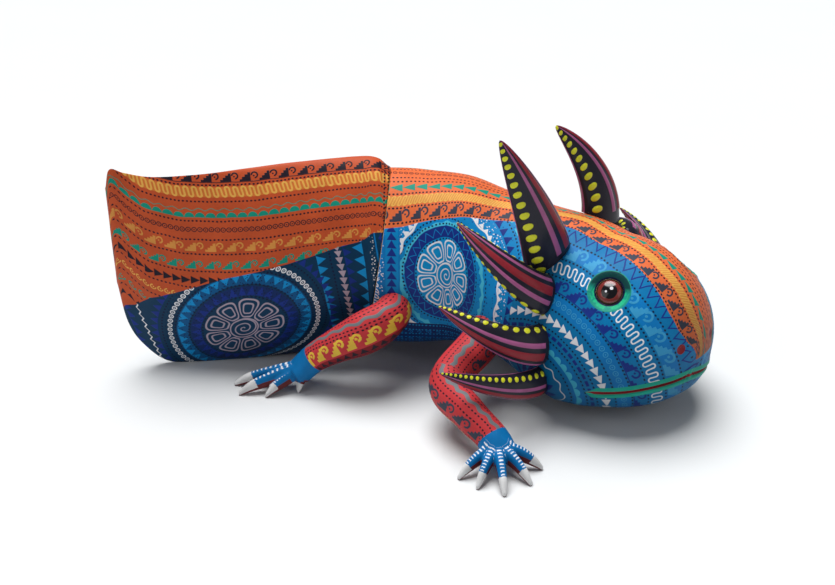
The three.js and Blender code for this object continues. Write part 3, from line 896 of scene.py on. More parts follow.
def limb_rings(rows, steps=14):
    """Rings of an ellipse along the limb, upright across the way that it runs."""
    u = np.linspace(0, len(rows) - 1, steps * (len(rows) - 1) + 1)
    row = spline(rows, u)
    up, across = limb_frame(rows, u)
    angle = np.arange(LIMB_AROUND) * 2 * math.pi / LIMB_AROUND
    return (row[:, None, :3] + across[:, None] * (row[:, 3:4] * np.cos(angle))[..., None]
            + up[:, None] * (row[:, 4:5] * np.sin(angle))[..., None])


def toe_stations(palm, tip):
    """x, y, z, half thickness and half height of a toe from the palm to the end of its nail."""
    end = np.array([tip[0], tip[1], TOE["tip_z"]])
    rows = [(0, palm[2], TOE["root"], TOE["knuckle"]),
            (0.45, TOE["arch"] - 4, TOE["root"] * 0.8, TOE["knuckle"]),
            (0.8, TOE["arch"] * 0.4, TOE["root"] * 0.6, TOE["knuckle"] * 0.75),
            (1, TOE["tip_z"], TOE["tip"] * 0.7, TOE["tip"])]
    return np.array([[*(palm + (end - palm) * f)[:2], z, half, high] for f, z, half, high in rows])


def across_toe(rows):
    """The level direction across a toe."""
    return unit(np.array([rows[0][1] - rows[-1][1], rows[-1][0] - rows[0][0], 0]))


def toe_rings(rows, steps=14):
    """Rings of a flattened ellipse along the toe."""
    u = np.linspace(0, len(rows) - 1, steps * (len(rows) - 1) + 1)
    row = spline(rows, u)
    across = across_toe(rows)
    angle = np.arange(TOE_AROUND) * 2 * math.pi / TOE_AROUND
    return (row[:, None, :3] + across * (row[:, 3:4] * np.cos(angle))[..., None]
            + np.array([0, 0, 1.0]) * (row[:, 4:5] * power(np.sin(angle), 0.8))[..., None])


def tube(name, points):
    """A closed tube through rings of points."""
    return facing_out(new_mesh(name, *capped(points)))


def nearest_on(rows, points, steps=60):
    """For each point: the nearest place on the curve, as its row number, and the offset from it."""
    u = np.linspace(0, len(rows) - 1, steps * (len(rows) - 1) + 1)
    curve = spline(rows, u)
    best, where = np.full(len(points), np.inf), np.zeros(len(points), int)
    for i, row in enumerate(curve):
        scaled = (points - row[:3]) ** 2
        distance = scaled.sum(1) / max(row[3], 1.0) ** 2
        closer = distance < best
        best, where = np.where(closer, distance, best), np.where(closer, i, where)
    return u[where], points - curve[where][:, :3], np.sqrt(best), curve[where]


def palm_of(leg):
    """Where the toes spring from, most of the way along the last part of the limb."""
    return spline(leg["limb"], len(leg["limb"]) - PALM)[:3]


def outward(leg):
    """The level direction from the spine to the leg's hip."""
    point, across = middle_plane(leg["limb"][0])
    return across * np.sign((leg["limb"][0][:3] - point) @ across)


def limb_fields(leg, points):
    """Length along the limb, girth up from its outer side, and how far past the wrist."""
    rows = leg["limb"]
    u, offset, _, row = nearest_on(rows, points)
    up, across = limb_frame(rows, u)
    outer = np.sign(across @ outward(leg))
    turn = np.arctan2((offset * up).sum(1) / row[:, 4], outer * (offset * across).sum(1) / row[:, 3])
    fine = np.linspace(0, len(rows) - 1, 400)
    run = arc_lengths(spline(rows, fine)[:, :3], 0)
    length = np.interp(u, fine, run)
    girth = turn * (row[:, 3] + row[:, 4]) / 2
    return length, girth, length - np.interp(len(rows) - WRIST, fine, run)


def toe_fields(leg, points):
    """Share of the nearest toe's length, and place across it and up, as shares of its half sizes."""
    palm = palm_of(leg)
    nearest = np.full(len(points), np.inf)
    found = [np.zeros(len(points)) for _ in range(3)]
    for tip in leg["toes"]:
        toe = toe_stations(palm, tip)
        v, away, near, row = nearest_on(toe, points, 24)
        values = v / (len(toe) - 1), (away @ across_toe(toe)) / row[:, 3], away[:, 2] / row[:, 4]
        closer = near < nearest
        nearest = np.where(closer, near, nearest)
        found = [np.where(closer, value, old) for value, old in zip(values, found)]
    return found


def make_leg(name, leg, materials):
    palm = palm_of(leg)
    parts = [tube("carved_" + name, limb_rings(leg["limb"]))]
    parts += [tube("toe", toe_rings(toe_stations(palm, tip))) for tip in leg["toes"]]
    obj = joined(parts)
    remesh = obj.modifiers.new("one_skin", "REMESH")
    remesh.mode = "VOXEL"
    remesh.voxel_size = REMESH * MM
    remesh.use_smooth_shade = True
    smooth = obj.modifiers.new("sanded", "SMOOTH")
    smooth.factor = 0.5
    smooth.iterations = 3
    apply_modifiers(obj)
    for material in materials:
        obj.data.materials.append(material)
    points = read_points(obj)
    points = points + hand_carving(points, 0.12)[:, None] * read_normals(obj)
    points[:, 2] = np.maximum(points[:, 2], 0)
    write_points(obj, points)
    fields = {"limb": limb_fields(leg, points), "toe": toe_fields(leg, points)}
    boolean(obj, seat_cutter(materials), "DIFFERENCE")
    dowel = leg["dowel"]
    ends = -DOWEL["half"] - BORE_BOTTOM, DOWEL["half"]
    boolean(obj, bore(dowel["at"], dowel["along"], DOWEL["radius"], ends, materials), "DIFFERENCE")
    write_fields(obj, carry_fields(obj, points, fields))
    return obj


# ------------------------------------------------------------------ eyes and dowels


def make_eye(name, eye, materials):
    """A glass bead: a shank in the socket and a dome with a rolled edge."""
    seat = -DISH["depth"] + 0.4
    profile = [(0, -DISH["depth"] - BEAD["shank"] + BORE_BOTTOM),
               (BEAD["radius"] - 0.6, -DISH["depth"] - BEAD["shank"] + BORE_BOTTOM),
               (BEAD["radius"], -DISH["depth"] - BEAD["shank"] + BORE_BOTTOM + 0.6)]
    for angle in np.linspace(0, math.pi / 2, 20):
        profile.append((BEAD["radius"] * math.cos(angle), seat + BEAD["dome"] * math.sin(angle)))
    profile[-1] = (0, profile[-1][1])
    bead = turned("bead_eye_" + name, eye["at"], eye["axis"], profile, materials, PAINTED, 72)
    axis = unit(eye["axis"])
    up = upwards(axis)
    offset = read_points(bead) - np.array(eye["at"])
    write_fields(bead, {"iris": (offset @ np.cross(up, axis), offset @ up, offset @ axis)})
    return bead


def make_dowel(name, dowel, materials):
    """A loose dowel with chamfered ends and shallow glue grooves."""
    r, h, groove, chamfer = DOWEL["radius"], DOWEL["half"], 0.35, 1
    profile = [(0, -h), (r - chamfer, -h), (r, chamfer - h)]
    for middle in (-h * 0.55, 0.0, h * 0.55):
        profile += [(r - cut, middle + way)
                    for cut, way in ((0, -0.8), (groove, -0.3), (groove, 0.3), (0, 0.8))]
    profile += [(r, h - chamfer), (r - chamfer, h), (0, h)]
    return turned(name, dowel["at"], dowel["along"], profile, materials, PAINTED, 40)


# ------------------------------------------------------------------ sums on fields and on arrays


class Field:
    """A number over the painted surface: the output of a shader node. It takes part in sums."""

    def __init__(self, socket):
        self.socket = socket

    def __add__(self, other):
        return sum_node("ADD", self, other)

    def __sub__(self, other):
        return sum_node("SUBTRACT", self, other)

    def __rsub__(self, other):
        return sum_node("SUBTRACT", other, self)

    def __mul__(self, other):
        return sum_node("MULTIPLY", self, other)

    def __truediv__(self, other):
        return sum_node("DIVIDE", self, other)

    def __neg__(self):
        return sum_node("MULTIPLY", self, -1.0)

    def __abs__(self):
        return sum_node("ABSOLUTE", self)

    __radd__ = __add__
    __rmul__ = __mul__


def feed(socket, value):
    """Gives a node's input its value: a number, a colour, or what another node puts out."""
    if isinstance(value, Field):
        value = value.socket
    if isinstance(value, bpy.types.NodeSocket):
        socket.id_data.links.new(value, socket)
    else:
        socket.default_value = value


def sum_node(kind, *inputs, clamp=False):
    tree = next(v.socket.id_data for v in inputs if isinstance(v, Field))
    node = tree.nodes.new("ShaderNodeMath")
    node.operation = kind
    node.use_clamp = clamp
    for socket, value in zip(node.inputs, inputs):
        feed(socket, value)
    return Field(node.outputs[0])


def either(kind, on_arrays):
    """A function that works on fields, as a node, and on arrays."""
    def function(*values):
        if any(isinstance(v, Field) for v in values):
            return sum_node(kind, *values)
        return on_arrays(*values)
    return function


least = either("MINIMUM", np.minimum)
most = either("MAXIMUM", np.maximum)
fraction = either("FRACT", lambda v: v - np.floor(v))
whole = either("FLOOR", np.floor)
sine = either("SINE", np.sin)
turn_of = either("ARCTAN2", np.arctan2)
raised = either("POWER", np.power)


def wrapped(x, period):
    """Place within a repeat, from minus half a period to plus half."""
    if isinstance(x, Field):
        return sum_node("WRAP", x, period / 2, -period / 2)
    return (x + period / 2) % period - period / 2


def span(x, y):
    """The length of (x, y)."""
    if not isinstance(x, Field) and not isinstance(y, Field):
        return np.hypot(x, y)
    tree = (x if isinstance(x, Field) else y).socket.id_data
    joint = tree.nodes.new("ShaderNodeCombineXYZ")
    feed(joint.inputs[0], x)
    feed(joint.inputs[1], y)
    size = tree.nodes.new("ShaderNodeVectorMath")
    size.operation = "LENGTH"
    feed(size.inputs[0], joint.outputs[0])
    return Field(size.outputs["Value"])


# ------------------------------------------------------------------ motifs
# A motif gives how far inside its shape a place is, in millimetres: x runs along the row, y up
# across it from its middle.


def stripe(y, width):
    return width / 2 - abs(y)


def dots(x, y, pitch, radius, stretch=1.0):
    return radius - span(wrapped(x, pitch) / stretch, y)


def wave_line(x, y, pitch, swing, width):
    return width / 2 - abs(y - sine(x * (2 * math.pi / pitch)) * swing)


def zigzag(x, y, pitch, swing, width):
    return width / 2 - abs(y + swing - abs(wrapped(x, pitch)) * (4 * swing / pitch))


def teeth(x, y, pitch, high, fill=0.92):
    """Triangles that stand on the row's lower edge."""
    side = (high / 2 - y) * (pitch * fill / 2 / high) - abs(wrapped(x, pitch))
    return least(side, y + high / 2)


def arrows(x, y, pitch, high):
    """Triangles in a chain, their points towards plus x."""
    return (1 - fraction(x / pitch)) * (high / 2) - abs(y)


def scallops(x, y, pitch, high):
    low = y + high / 2
    return least(pitch * 0.49 - span(wrapped(x, pitch), low * (pitch * 0.49 / high)), low)


def rings(x, y, pitch, radius, width):
    """A chain of rings, each with a dot in it."""
    away = span(wrapped(x, pitch), y)
    return most(width / 2 - abs(away - radius), radius * 0.3 - away)


def hooks(x, y, pitch, radius, width):
    """A chain of open curls, like a row of small commas."""
    across = wrapped(x, pitch)
    away = span(across, y)
    curl = least(width / 2 - abs(away - radius), most(y, across))
    return most(curl, width * 0.7 - span(across + radius * 0.1, y + radius * 0.1))


def meander(x, y, pitch, high, width, slant=0.15):
    """A line that winds up and down with round turns."""
    across = abs(wrapped(x + y * slant, pitch))
    lower = sum_node("LESS_THAN", y, 0.0) if isinstance(y, Field) else y < 0
    turn = across + lower * (pitch / 2 - across * 2)
    past = most(abs(y) - (high / 2 - pitch / 4), 0.0)
    return width / 2 - abs(span(turn, past) - pitch / 4)


def step_waves(x, y, pitch, high, steps=4):
    """A stepped slope that rises towards plus x and breaks into a curl, again and again."""
    place = fraction(x / pitch)
    slope = 0.56
    stair = (whole(place * (steps / slope)) + 1) * (high / steps) - (y + high / 2)
    stair = least(stair, (slope - place) * pitch)
    radius = min(0.19 * pitch, 0.33 * high)
    centre = (slope + 0.2) * pitch
    across = place * pitch - centre
    up = y - (high / 2 - radius)
    away = span(across, up)
    curl = least(0.09 * high - abs(away - radius), most(up, across))
    eye = 0.1 * high - span(across + radius * 0.25, up + radius * 0.2)
    return most(least(stair, y + high / 2), most(curl, eye))


def rosette(x, y, size, petals=9, line=0.8):
    """A flower in outline with a spiral heart: each petal is a round-ended loop with another inside."""
    away = span(x, y)
    turn = turn_of(y, x)
    heart = size * 0.35
    pitch = heart / 2.4
    spiral = least(line / 2 - abs(wrapped(away - turn * (pitch / (2 * math.pi)), pitch)), heart - away)
    ring = line / 2 - abs(away - heart)
    root = heart + line * 1.3
    half_long = (size - root) / 2
    wide = away * (math.pi / petals * 0.9)
    aside = raised(abs(wrapped(turn, 2 * math.pi / petals)) * away / wide, 4)
    along = raised(abs(away - (root + half_long)) / half_long, 4)
    depth = (1 - raised(aside + along, 0.25)) * (size * 0.24)
    inner = least(line / 2 - abs(depth - size * 0.115), away - size * 0.5)
    return most(most(spiral, ring), most(line / 2 - abs(depth - line / 2), inner))


# ------------------------------------------------------------------ paint

EDGE = 0.28              # width over which one paint gives way to the next


def colour(red, green, blue):
    """The linear colour of a paint that is given as it looks, from 0 to 255."""
    return tuple(((v / 255 + 0.055) / 1.055) ** 2.4 if v > 10 else v / 255 / 12.92
                 for v in (red, green, blue)) + (1.0,)


ORANGE = colour(216, 104, 58)
TAIL_ORANGE = colour(186, 78, 42)
AMBER = colour(222, 166, 78)
OCHRE = colour(206, 138, 66)
RUST = colour(204, 112, 52)
TEAL = colour(20, 138, 118)
SEA_GREEN = colour(28, 168, 122)
# Painted shade inside the upper rim of an eye's dish.
SHADED_RIM_GREEN = colour(8, 62, 62)
SLATE = colour(56, 60, 74)
SOOT = colour(34, 27, 38)
SKY = colour(10, 132, 194)
AZURE = colour(8, 112, 178)
LAGOON = colour(66, 178, 208)
INDIGO = colour(20, 46, 126)
NAVY = colour(12, 40, 92)
MIDNIGHT = colour(10, 24, 56)
CHALK = colour(226, 226, 230)
ROSE_GREY = colour(168, 152, 166)
RED = colour(184, 54, 58)
DARK_RED = colour(122, 26, 34)
BROWN_RED = colour(98, 40, 42)
SMOKE = colour(104, 108, 112)
YELLOW = colour(214, 176, 62)
LEMON = colour(206, 206, 44)
MAUVE = colour(156, 84, 128)
GARNET = colour(134, 38, 48)
GILL_BLACK = colour(32, 30, 42)
FOOT_BLUE = colour(8, 102, 160)
NAIL = colour(206, 206, 206)
IRIS = colour(118, 44, 40)
PUPIL = colour(12, 10, 14)
STAGE_GREY = colour(212, 214, 215)
WOOD_LIGHT = colour(214, 182, 136)
WOOD_DARK = colour(176, 134, 88)


class Paint:
    """Coats of paint on a material, the later ones over the earlier."""

    def __init__(self, name, ground):
        self.material = bpy.data.materials.new(name)
        self.material.use_nodes = True
        self.tree = self.material.node_tree
        self.tree.nodes.clear()
        self.colour = ground
        self.relief = 0.0
        self.wobble = None

    def node(self, kind, inputs=(), **settings):
        """A new node with these settings, and these values for its inputs."""
        node = self.tree.nodes.new(kind)
        for name, value in settings.items():
            setattr(node, name, value)
        for name, value in dict(inputs).items():
            feed(node.inputs[name], value)
        return node

    def parts_of(self, vector):
        """The three numbers of a vector."""
        parts = self.node("ShaderNodeSeparateXYZ", {"Vector": vector})
        return [Field(output) for output in parts.outputs]

    def field(self, name):
        """The three numbers that the mesh holds under this name."""
        return self.parts_of(self.node("ShaderNodeAttribute", attribute_name=name).outputs["Vector"])

    def surface(self):
        """The place of a point of the surface, in metres."""
        return self.node("ShaderNodeTexCoord").outputs["Object"]

    def place(self):
        """The place of a point of the surface: x, y and z in millimetres."""
        return [part * (1 / MM) for part in self.parts_of(self.surface())]

    def noise(self, scale, detail=2.0, roughness=0.5, stretch=None):
        """Three unrelated fields of noise from 0 to 1, its grains 1/scale metres large."""
        place = self.surface()
        if stretch is not None:
            place = self.node("ShaderNodeMapping", {"Vector": place, "Scale": stretch}).outputs["Vector"]
        texture = self.node("ShaderNodeTexNoise", {
            "Vector": place, "Scale": scale, "Detail": detail, "Roughness": roughness})
        parts = self.node("ShaderNodeSeparateColor", {"Color": texture.outputs["Color"]})
        return [Field(output) for output in parts.outputs[:3]]

    def speckle(self, scale):
        """Distance from the nearest of many scattered points, as a share of their spacing."""
        texture = self.node("ShaderNodeTexVoronoi", {"Vector": self.surface(), "Scale": scale})
        return Field(texture.outputs["Distance"])

    def by_hand(self, x, y, amount=0.5):
        """The place (x, y), moved a little as an unsteady brush moves."""
        if self.wobble is None:
            self.wobble = self.noise(110.0, 1.0)
        along, across, _ = self.wobble
        return x + (along - 0.5) * (2 * amount), y + (across - 0.5) * (2 * amount)

    def cover(self, shape, over):
        """Lays a colour over the inside of the shape, and gives how much of it covers each place."""
        share = sum_node("MULTIPLY_ADD", shape, 1 / EDGE, 0.5, clamp=True)
        mix = self.node("ShaderNodeMix", {0: share, 6: self.colour, 7: over}, data_type="RGBA")
        self.colour = mix.outputs[2]
        return share

    def coat(self, shape, paint, raised=1.0):
        """Covers the inside of the shape with a coat as thick as raised."""
        share = self.cover(shape, paint)
        if raised:
            relief = share * raised
            self.relief = most(self.relief, relief) if isinstance(self.relief, Field) else relief

    def over(self, other, shape):
        """Covers the inside of the shape with what another paint of the same material has there."""
        share = self.cover(shape, other.colour)
        if isinstance(self.relief, Field) and isinstance(other.relief, Field):
            self.relief = self.relief + (other.relief - self.relief) * share

    def layer(self, ground):
        """Another paint in the same material, to be laid over this one."""
        twin = Paint.__new__(Paint)
        twin.material, twin.tree, twin.wobble = self.material, self.tree, self.wobble
        twin.colour, twin.relief = ground, 0.0
        return twin

    def shade(self, low_mm, high_mm, darkest):
        """Painted shade: darker colour lower down, full colour above high_mm, times darkest below
        low_mm.
        """
        _, _, height = self.place()
        per_mm = 1 / (high_mm - low_mm)
        lit = sum_node("MULTIPLY_ADD", height, per_mm, -low_mm * per_mm, clamp=True)
        self.scale(lit * (1 - darkest) + darkest)

    def scale(self, share):
        """Multiplies the colour."""
        colour_in = self.colour[:3] if isinstance(self.colour, tuple) else self.colour
        scaled = self.node("ShaderNodeVectorMath", operation="SCALE")
        feed(scaled.inputs[0], colour_in)
        feed(scaled.inputs["Scale"], share)
        self.colour = scaled.outputs[0]

    def tint(self, amount, scale):
        """Uneven colour, as hand-mixed paint has."""
        uneven = self.noise(scale, 3.0, 0.6)[0]
        self.scale((uneven - 0.5) * (2 * amount) + 1.0)

    def finish(self, rough=0.48, relief_mm=0.16, grain=0.25, grain_scale=900.0, coat=0.0, specular=0.12):
        """Joins everything up to a shader, with relief and grain as bumps."""
        fine = self.noise(grain_scale, 3.0, 0.6)
        height = fine[0] * grain
        if isinstance(self.relief, Field):
            height = height + self.relief
        bumps = self.node("ShaderNodeBump", {
            "Strength": 0.6, "Distance": relief_mm * MM, "Height": height})
        shader = self.node("ShaderNodeBsdfPrincipled", {
            "Base Color": self.colour,
            "Roughness": (fine[1] - 0.5) * 0.22 + rough,
            "Specular IOR Level": specular,
            "Coat Weight": coat,
            "Coat Roughness": 0.15,
            "Normal": bumps.outputs["Normal"],
        })
        self.node("ShaderNodeOutputMaterial", {"Surface": shader.outputs[0]})
        return self.material


# ------------------------------------------------------------------ the painted patterns

ROUND = 2 * math.pi
HEAD_BLUE = colour(2, 110, 164)
FLANK_BLUE = colour(6, 128, 190)
BRIGHT_BLUE = colour(6, 138, 198)
# The tail's blue: the flank's blue darkened as painted shade, for the tail's side that faces down and
# away from the light.
SHADED_TAIL_BLUE = colour(3, 50, 80)
HAZE = colour(54, 144, 190)
DUSK = colour(6, 78, 128)


def fine_dots(paint, x, y, tone=SOOT, pitch=2.5):
    """A row of small dots."""
    paint.coat(dots(x, y, pitch, 0.58, 1.25), tone, 0.7)


def whole_pitch(radius, pitch):
    """The pitch nearest to this one that goes round the circle a whole number of times."""
    return ROUND * radius / round(ROUND * radius / pitch)


def polar_row(x, y, radius, pitch):
    """(length round the circle, distance outside it, pitch) for a row of repeats on a circle."""
    return turn_of(y, x) * radius, span(x, y) - radius, whole_pitch(radius, pitch)


def scatter(paint, scale, radius, tone, within=None):
    """Fine dots at random, within a shape."""
    shape = (radius - paint.speckle(scale)) * (1.0 / scale / MM)
    paint.coat(shape if within is None else least(shape, within), tone, 0.5)


def crest_rows(paint, length, across):
    """The patterns along the back, the same on both sides of its middle."""
    x, y = paint.by_hand(length, abs(across), 0.45)
    paint.coat(rings(x, y, 3.6, 1.15, 0.5), SOOT)
    for row, pitch in ((5.0, 2.5), (8.2, 2.8), (16.6, 2.5), (25.0, 2.4), (33.6, 2.6)):
        fine_dots(paint, x, y - row, pitch=pitch)
    paint.coat(arrows(-x, y - 12.4, 8.4, 5.2), TEAL)
    paint.coat(stripe(y - 20.8, 5.6), OCHRE, 0.3)
    paint.coat(meander(x, y - 20.8, 3.6, 5.4, 0.85, 0.5), AMBER)
    paint.coat(step_waves(x, 29.4 - y, 13.5, 6.4), SLATE)


def flank_rosette(paint, x, y):
    """The rosette on the flank, with the dark zigzag ring round it."""
    paint.coat(24.8 - span(x, y), BRIGHT_BLUE, 0.2)
    around, outwards, pitch = polar_row(x, y, 28.6, 6.4)
    paint.coat(stripe(outwards, 7.2), INDIGO, 0.5)
    paint.coat(zigzag(around, outwards, pitch, 2.3, 0.75), FLANK_BLUE, 0.5)
    for radius in (24.0, 33.6):
        around, outwards, pitch = polar_row(x, y, radius, 2.6)
        fine_dots(paint, around, outwards, MIDNIGHT, pitch)
    paint.coat(rosette(x, y, 23.4), CHALK, 1.4)


def flank_rings(paint, x, y):
    """The wider rings behind the rosette, whose middle lies a little lower and further forward."""
    around, outwards, pitch = polar_row(x - 3.3, y + 4, 38.0, 9.0)
    paint.coat(wave_line(around, outwards, pitch, 0.5, 2.4), LAGOON)
    paint.coat(teeth(around, -1.5 - outwards, pitch, 3.4), LAGOON)
    fine_dots(paint, around, outwards - 3.4, MIDNIGHT, whole_pitch(38.0, 2.6))
    around, outwards, pitch = polar_row(x - 9, y + 4, 48.0, 5.0)
    paint.coat(wave_line(around, outwards, pitch * 3, 0.8, 1.5), CHALK, 1.2)
    paint.coat(teeth(around, outwards - 2.2, pitch, 3.6), CHALK, 1.2)
    scatter(paint, 620.0, 0.27, CHALK, stripe(outwards - 6.6, 6.0))
    around, outwards, pitch = polar_row(x - 9, y + 4, 62.0, 7.0)
    paint.coat(teeth(around, outwards, pitch, 6.0), INDIGO)
    fine_dots(paint, around, outwards - 5.0, MIDNIGHT, whole_pitch(62.0, 2.6))
    around, outwards, pitch = polar_row(x - 9, y + 4, 72.0, 7.0)
    paint.coat(step_waves(around, outwards, pitch * 1.6, 6.5), LAGOON)


def flank_columns(paint, x, y):
    """The upright rows beside the seam."""
    paint.coat(4.5 - abs(x + 40.2), FLANK_BLUE, 0.2)
    paint.coat(arrows(y, x + 40.2, 5.2, 6.0), INDIGO)
    paint.coat(most(-44.0 - x, stripe(x + 35.6, 0.9)), AZURE, 0.3)
    scatter(paint, 640.0, 0.28, CHALK, stripe(x + 47.2, 4.4))
    paint.coat(meander(y, x + 51.0, 4.4, 4.4, 0.8, 0.6), CHALK)


def belly_rows(paint, x, y, low):
    """Dotted lines on dark blue, below the level low."""
    paint.coat(low - y, NAVY, 0.3)
    rows = least(dots(x, wrapped(y, 5.0), 2.6, 0.6, 1.2), low - y)
    paint.coat(rows, SKY, 0.7)
    tufts = least(hooks(x, wrapped(y - 2.5, 10.0), 7.0, 1.5, 0.55), low - 4 - y)
    paint.coat(tufts, AZURE, 0.8)


def flank_layer(paint, forward, up):
    x, y = paint.by_hand(forward, up, 0.6)
    layer = paint.layer(FLANK_BLUE)
    scatter(layer, 420.0, 0.2, INDIGO)
    flank_rings(layer, x, y)
    flank_rosette(layer, x, y)
    flank_columns(layer, x, y)
    belly_rows(layer, x, y, -38.0)
    return layer


def head_layer(paint, rho, angle):
    """Arcs round the cheek, each row at its own radius from the pole of the cheek."""
    layer = paint.layer(HEAD_BLUE)
    swing, away = paint.by_hand(angle * -CHEEK_MIDDLE, rho, 0.5)
    turn = swing / CHEEK_MIDDLE

    def arc(radius, lift=0.0):
        """Place along and across a row that lies lift outside an arc."""
        return turn * radius, away - (radius + lift)

    for radius, wide in ((98.0, 9.0), (67.0, 8.0), (39.0, 7.0)):
        layer.coat(stripe(away - radius, wide), AZURE, 0.2)
    for radius in (103.0, 92.3, 81.6, 71.8, 62.0, 50.6, 44.0, 34.0):
        fine_dots(layer, *arc(radius), MIDNIGHT, 2.6)
    layer.coat(zigzag(*arc(108.0, 0.4), 7.6, 3.2, 1.7), INDIGO)
    layer.coat(dots(*arc(108.0, 3.0), 7.6, 0.6), MIDNIGHT)
    for radius, wide in ((113.4, 1.0), (72.9, 0.7)):
        layer.coat(stripe(away - radius, wide), INDIGO)
    layer.coat(step_waves(*arc(98.0, -0.4), 14.0, 8.0), HAZE)
    layer.coat(meander(*arc(86.5, 0.3), 5.4, 6.2, 0.85), CHALK, 1.3)
    layer.coat(step_waves(*arc(76.5, 0.1), 14.0, 6.8), INDIGO)
    layer.coat(rings(*arc(67.0), 4.4, 1.5, 0.5), HAZE)
    layer.coat(arrows(*arc(55.7, 0.3), 5.4, 5.8), CHALK, 1.3)
    around, outwards = arc(47.3)
    layer.coat(least(stripe(outwards, 2.2), stripe(wrapped(around, 5.0), 3.6)), INDIGO)
    layer.coat(scallops(*arc(39.0), 6.0, 3.4), LAGOON)
    layer.coat(wave_line(*arc(29.0), 9.0, 1.0, 0.8), CHALK, 1.2)
    layer.coat(teeth(*arc(22.0), 6.0, 5.0), INDIGO)
    # Painted shade: the head's blue and its rows darken towards the chin and lower cheek, where shade
    # falls.
    layer.shade(2.0, 74.0, 0.32)
    return layer


def mouth_coats(paint, lip, corner, nostril):
    taper = least(corner * 0.35, 1.0)
    paint.coat(least(taper * MOUTH["lip"] - abs(lip), corner + 2.0), TEAL, 0.6)
    paint.coat(least(taper * 1.1 - abs(lip), corner), DARK_RED, 0.0)
    paint.coat(NOSTRIL["radius"] - 0.2 - nostril, DARK_RED, 0.2)


def socket_coats(paint, radius, above):
    """Green in the dish of an eye, with painted shade at its upper rim, and dark round the bead."""
    uneven = paint.noise(260.0)[0]
    paint.coat(DISH["radius"] + 0.9 - radius, TEAL, 0.0)
    paint.coat(least(uneven * 9.0 - 4.2, DISH["radius"] - 0.6 - radius), SEA_GREEN, 0.0)
    # Painted shade: a dark green crescent inside the upper rim of the dish, where the rim shades it.
    paint.coat(least(2.1 - abs(radius - 10.7), (above - 2.0) * 0.08), SHADED_RIM_GREEN, 0.0)
    paint.coat(least(BEAD["radius"] + 1.4 - radius, uneven * 6.0 - 1.6), MIDNIGHT, 0.0)


def body_material():
    paint = Paint("painted_body", FLANK_BLUE)
    forward, up, _ = paint.field("flank")
    rho, angle, neck = paint.field("cheek")
    length, across, edge = paint.field("crest")
    ground = flank_layer(paint, forward, up)
    paint.colour, paint.relief = ground.colour, ground.relief
    paint.over(head_layer(paint, rho, angle), neck)
    crest = paint.layer(ORANGE)
    crest_rows(crest, length, across)
    # Painted shade: the crest's orange darkens low on the snout, where it faces forward and down.
    crest.shade(42.0, 108.0, 0.34)
    paint.over(crest, edge)
    mouth_coats(paint, *paint.field("mouth"))
    radius, _, above = paint.field("socket")
    socket_coats(paint, radius, above)
    paint.tint(0.22, 70.0)
    return paint.finish()


# Rows of the tail's orange part: place across the bands, and where the dotted rows between them are.
TAIL_DOTS = (10.9, 21.5, 34.2, 46.4, 56.2, 68.0, 79.2, 91.5, 103.0)


def tail_bands(paint, x, y):
    for row in TAIL_DOTS:
        fine_dots(paint, x, y - row)
    paint.coat(step_waves(-x, 6.1 - y, 12.3, 5.6), SOOT)
    paint.coat(stripe(y - 9.1, 0.5), SOOT)
    paint.coat(stripe(y - 15.3, 6.6), RUST, 0.2)
    paint.coat(meander(x, y - 15.3, 5.2, 6.0, 1.25, 0.2), AMBER)
    paint.coat(wave_line(x, y - 26.6, 8.0, 0.7, 0.5), TEAL, 0.6)
    paint.coat(scallops(x, 30.2 - y, 6.6, 3.4), TEAL)
    paint.coat(rings(x, y - 39.8, 3.6, 1.4, 0.55), SOOT)
    paint.coat(step_waves(-x, 51.5 - y, 12.4, 5.6), OCHRE)
    paint.coat(step_waves(-x, 63.6 - y, 11.4, 5.2), TEAL)
    paint.coat(arrows(-x, y - 74.4, 5.6, 5.4), SOOT)
    paint.coat(hooks(x, y - 85.6, 4.4, 1.6, 0.7), AMBER)
    paint.coat(hooks(x, y - 98.0, 6.4, 2.0, 0.8), TEAL)
    paint.coat(teeth(x, 109.0 - y, 5.0, 3.6), SOOT)


def tail_rosette(paint, x, y):
    """The rings round the tail's rosette, then the rosette itself."""
    for radius, wide, tone in ((39.6, 7.5, DUSK), (31.2, 6.6, NAVY)):
        paint.coat(stripe(span(x, y) - radius, wide), tone, 0.2)
    around, outwards, pitch = polar_row(x, y, 31.2, 6.2)
    paint.coat(teeth(around, outwards, pitch, 6.2), INDIGO)
    around, outwards, pitch = polar_row(x, y, 40.0, 6.6)
    paint.coat(teeth(around, -outwards, pitch, 5.4), SKY)
    scatter(paint, 560.0, 0.25, MIDNIGHT, 52.0 - span(x, y))
    around, outwards, pitch = polar_row(x, y, 48.0, 3.9)
    paint.coat(rings(around, outwards, pitch, 1.35, 0.7), CHALK, 1.2)
    around, outwards, pitch = polar_row(x, y, 58.5, 6.0)
    paint.coat(teeth(around, outwards, pitch, 5.0), INDIGO)
    for radius in (27.0, 35.6, 44.4, 53.4):
        around, outwards, pitch = polar_row(x, y, radius, 2.6)
        fine_dots(paint, around, outwards, MIDNIGHT, pitch)
    # The rosette's heart in the tail's blue, darkened as painted shade.
    paint.coat(26.0 - span(x, y), SHADED_TAIL_BLUE, 0.2)
    paint.coat(rosette(x, y, 25.6, line=0.9), ROSE_GREY, 1.4)


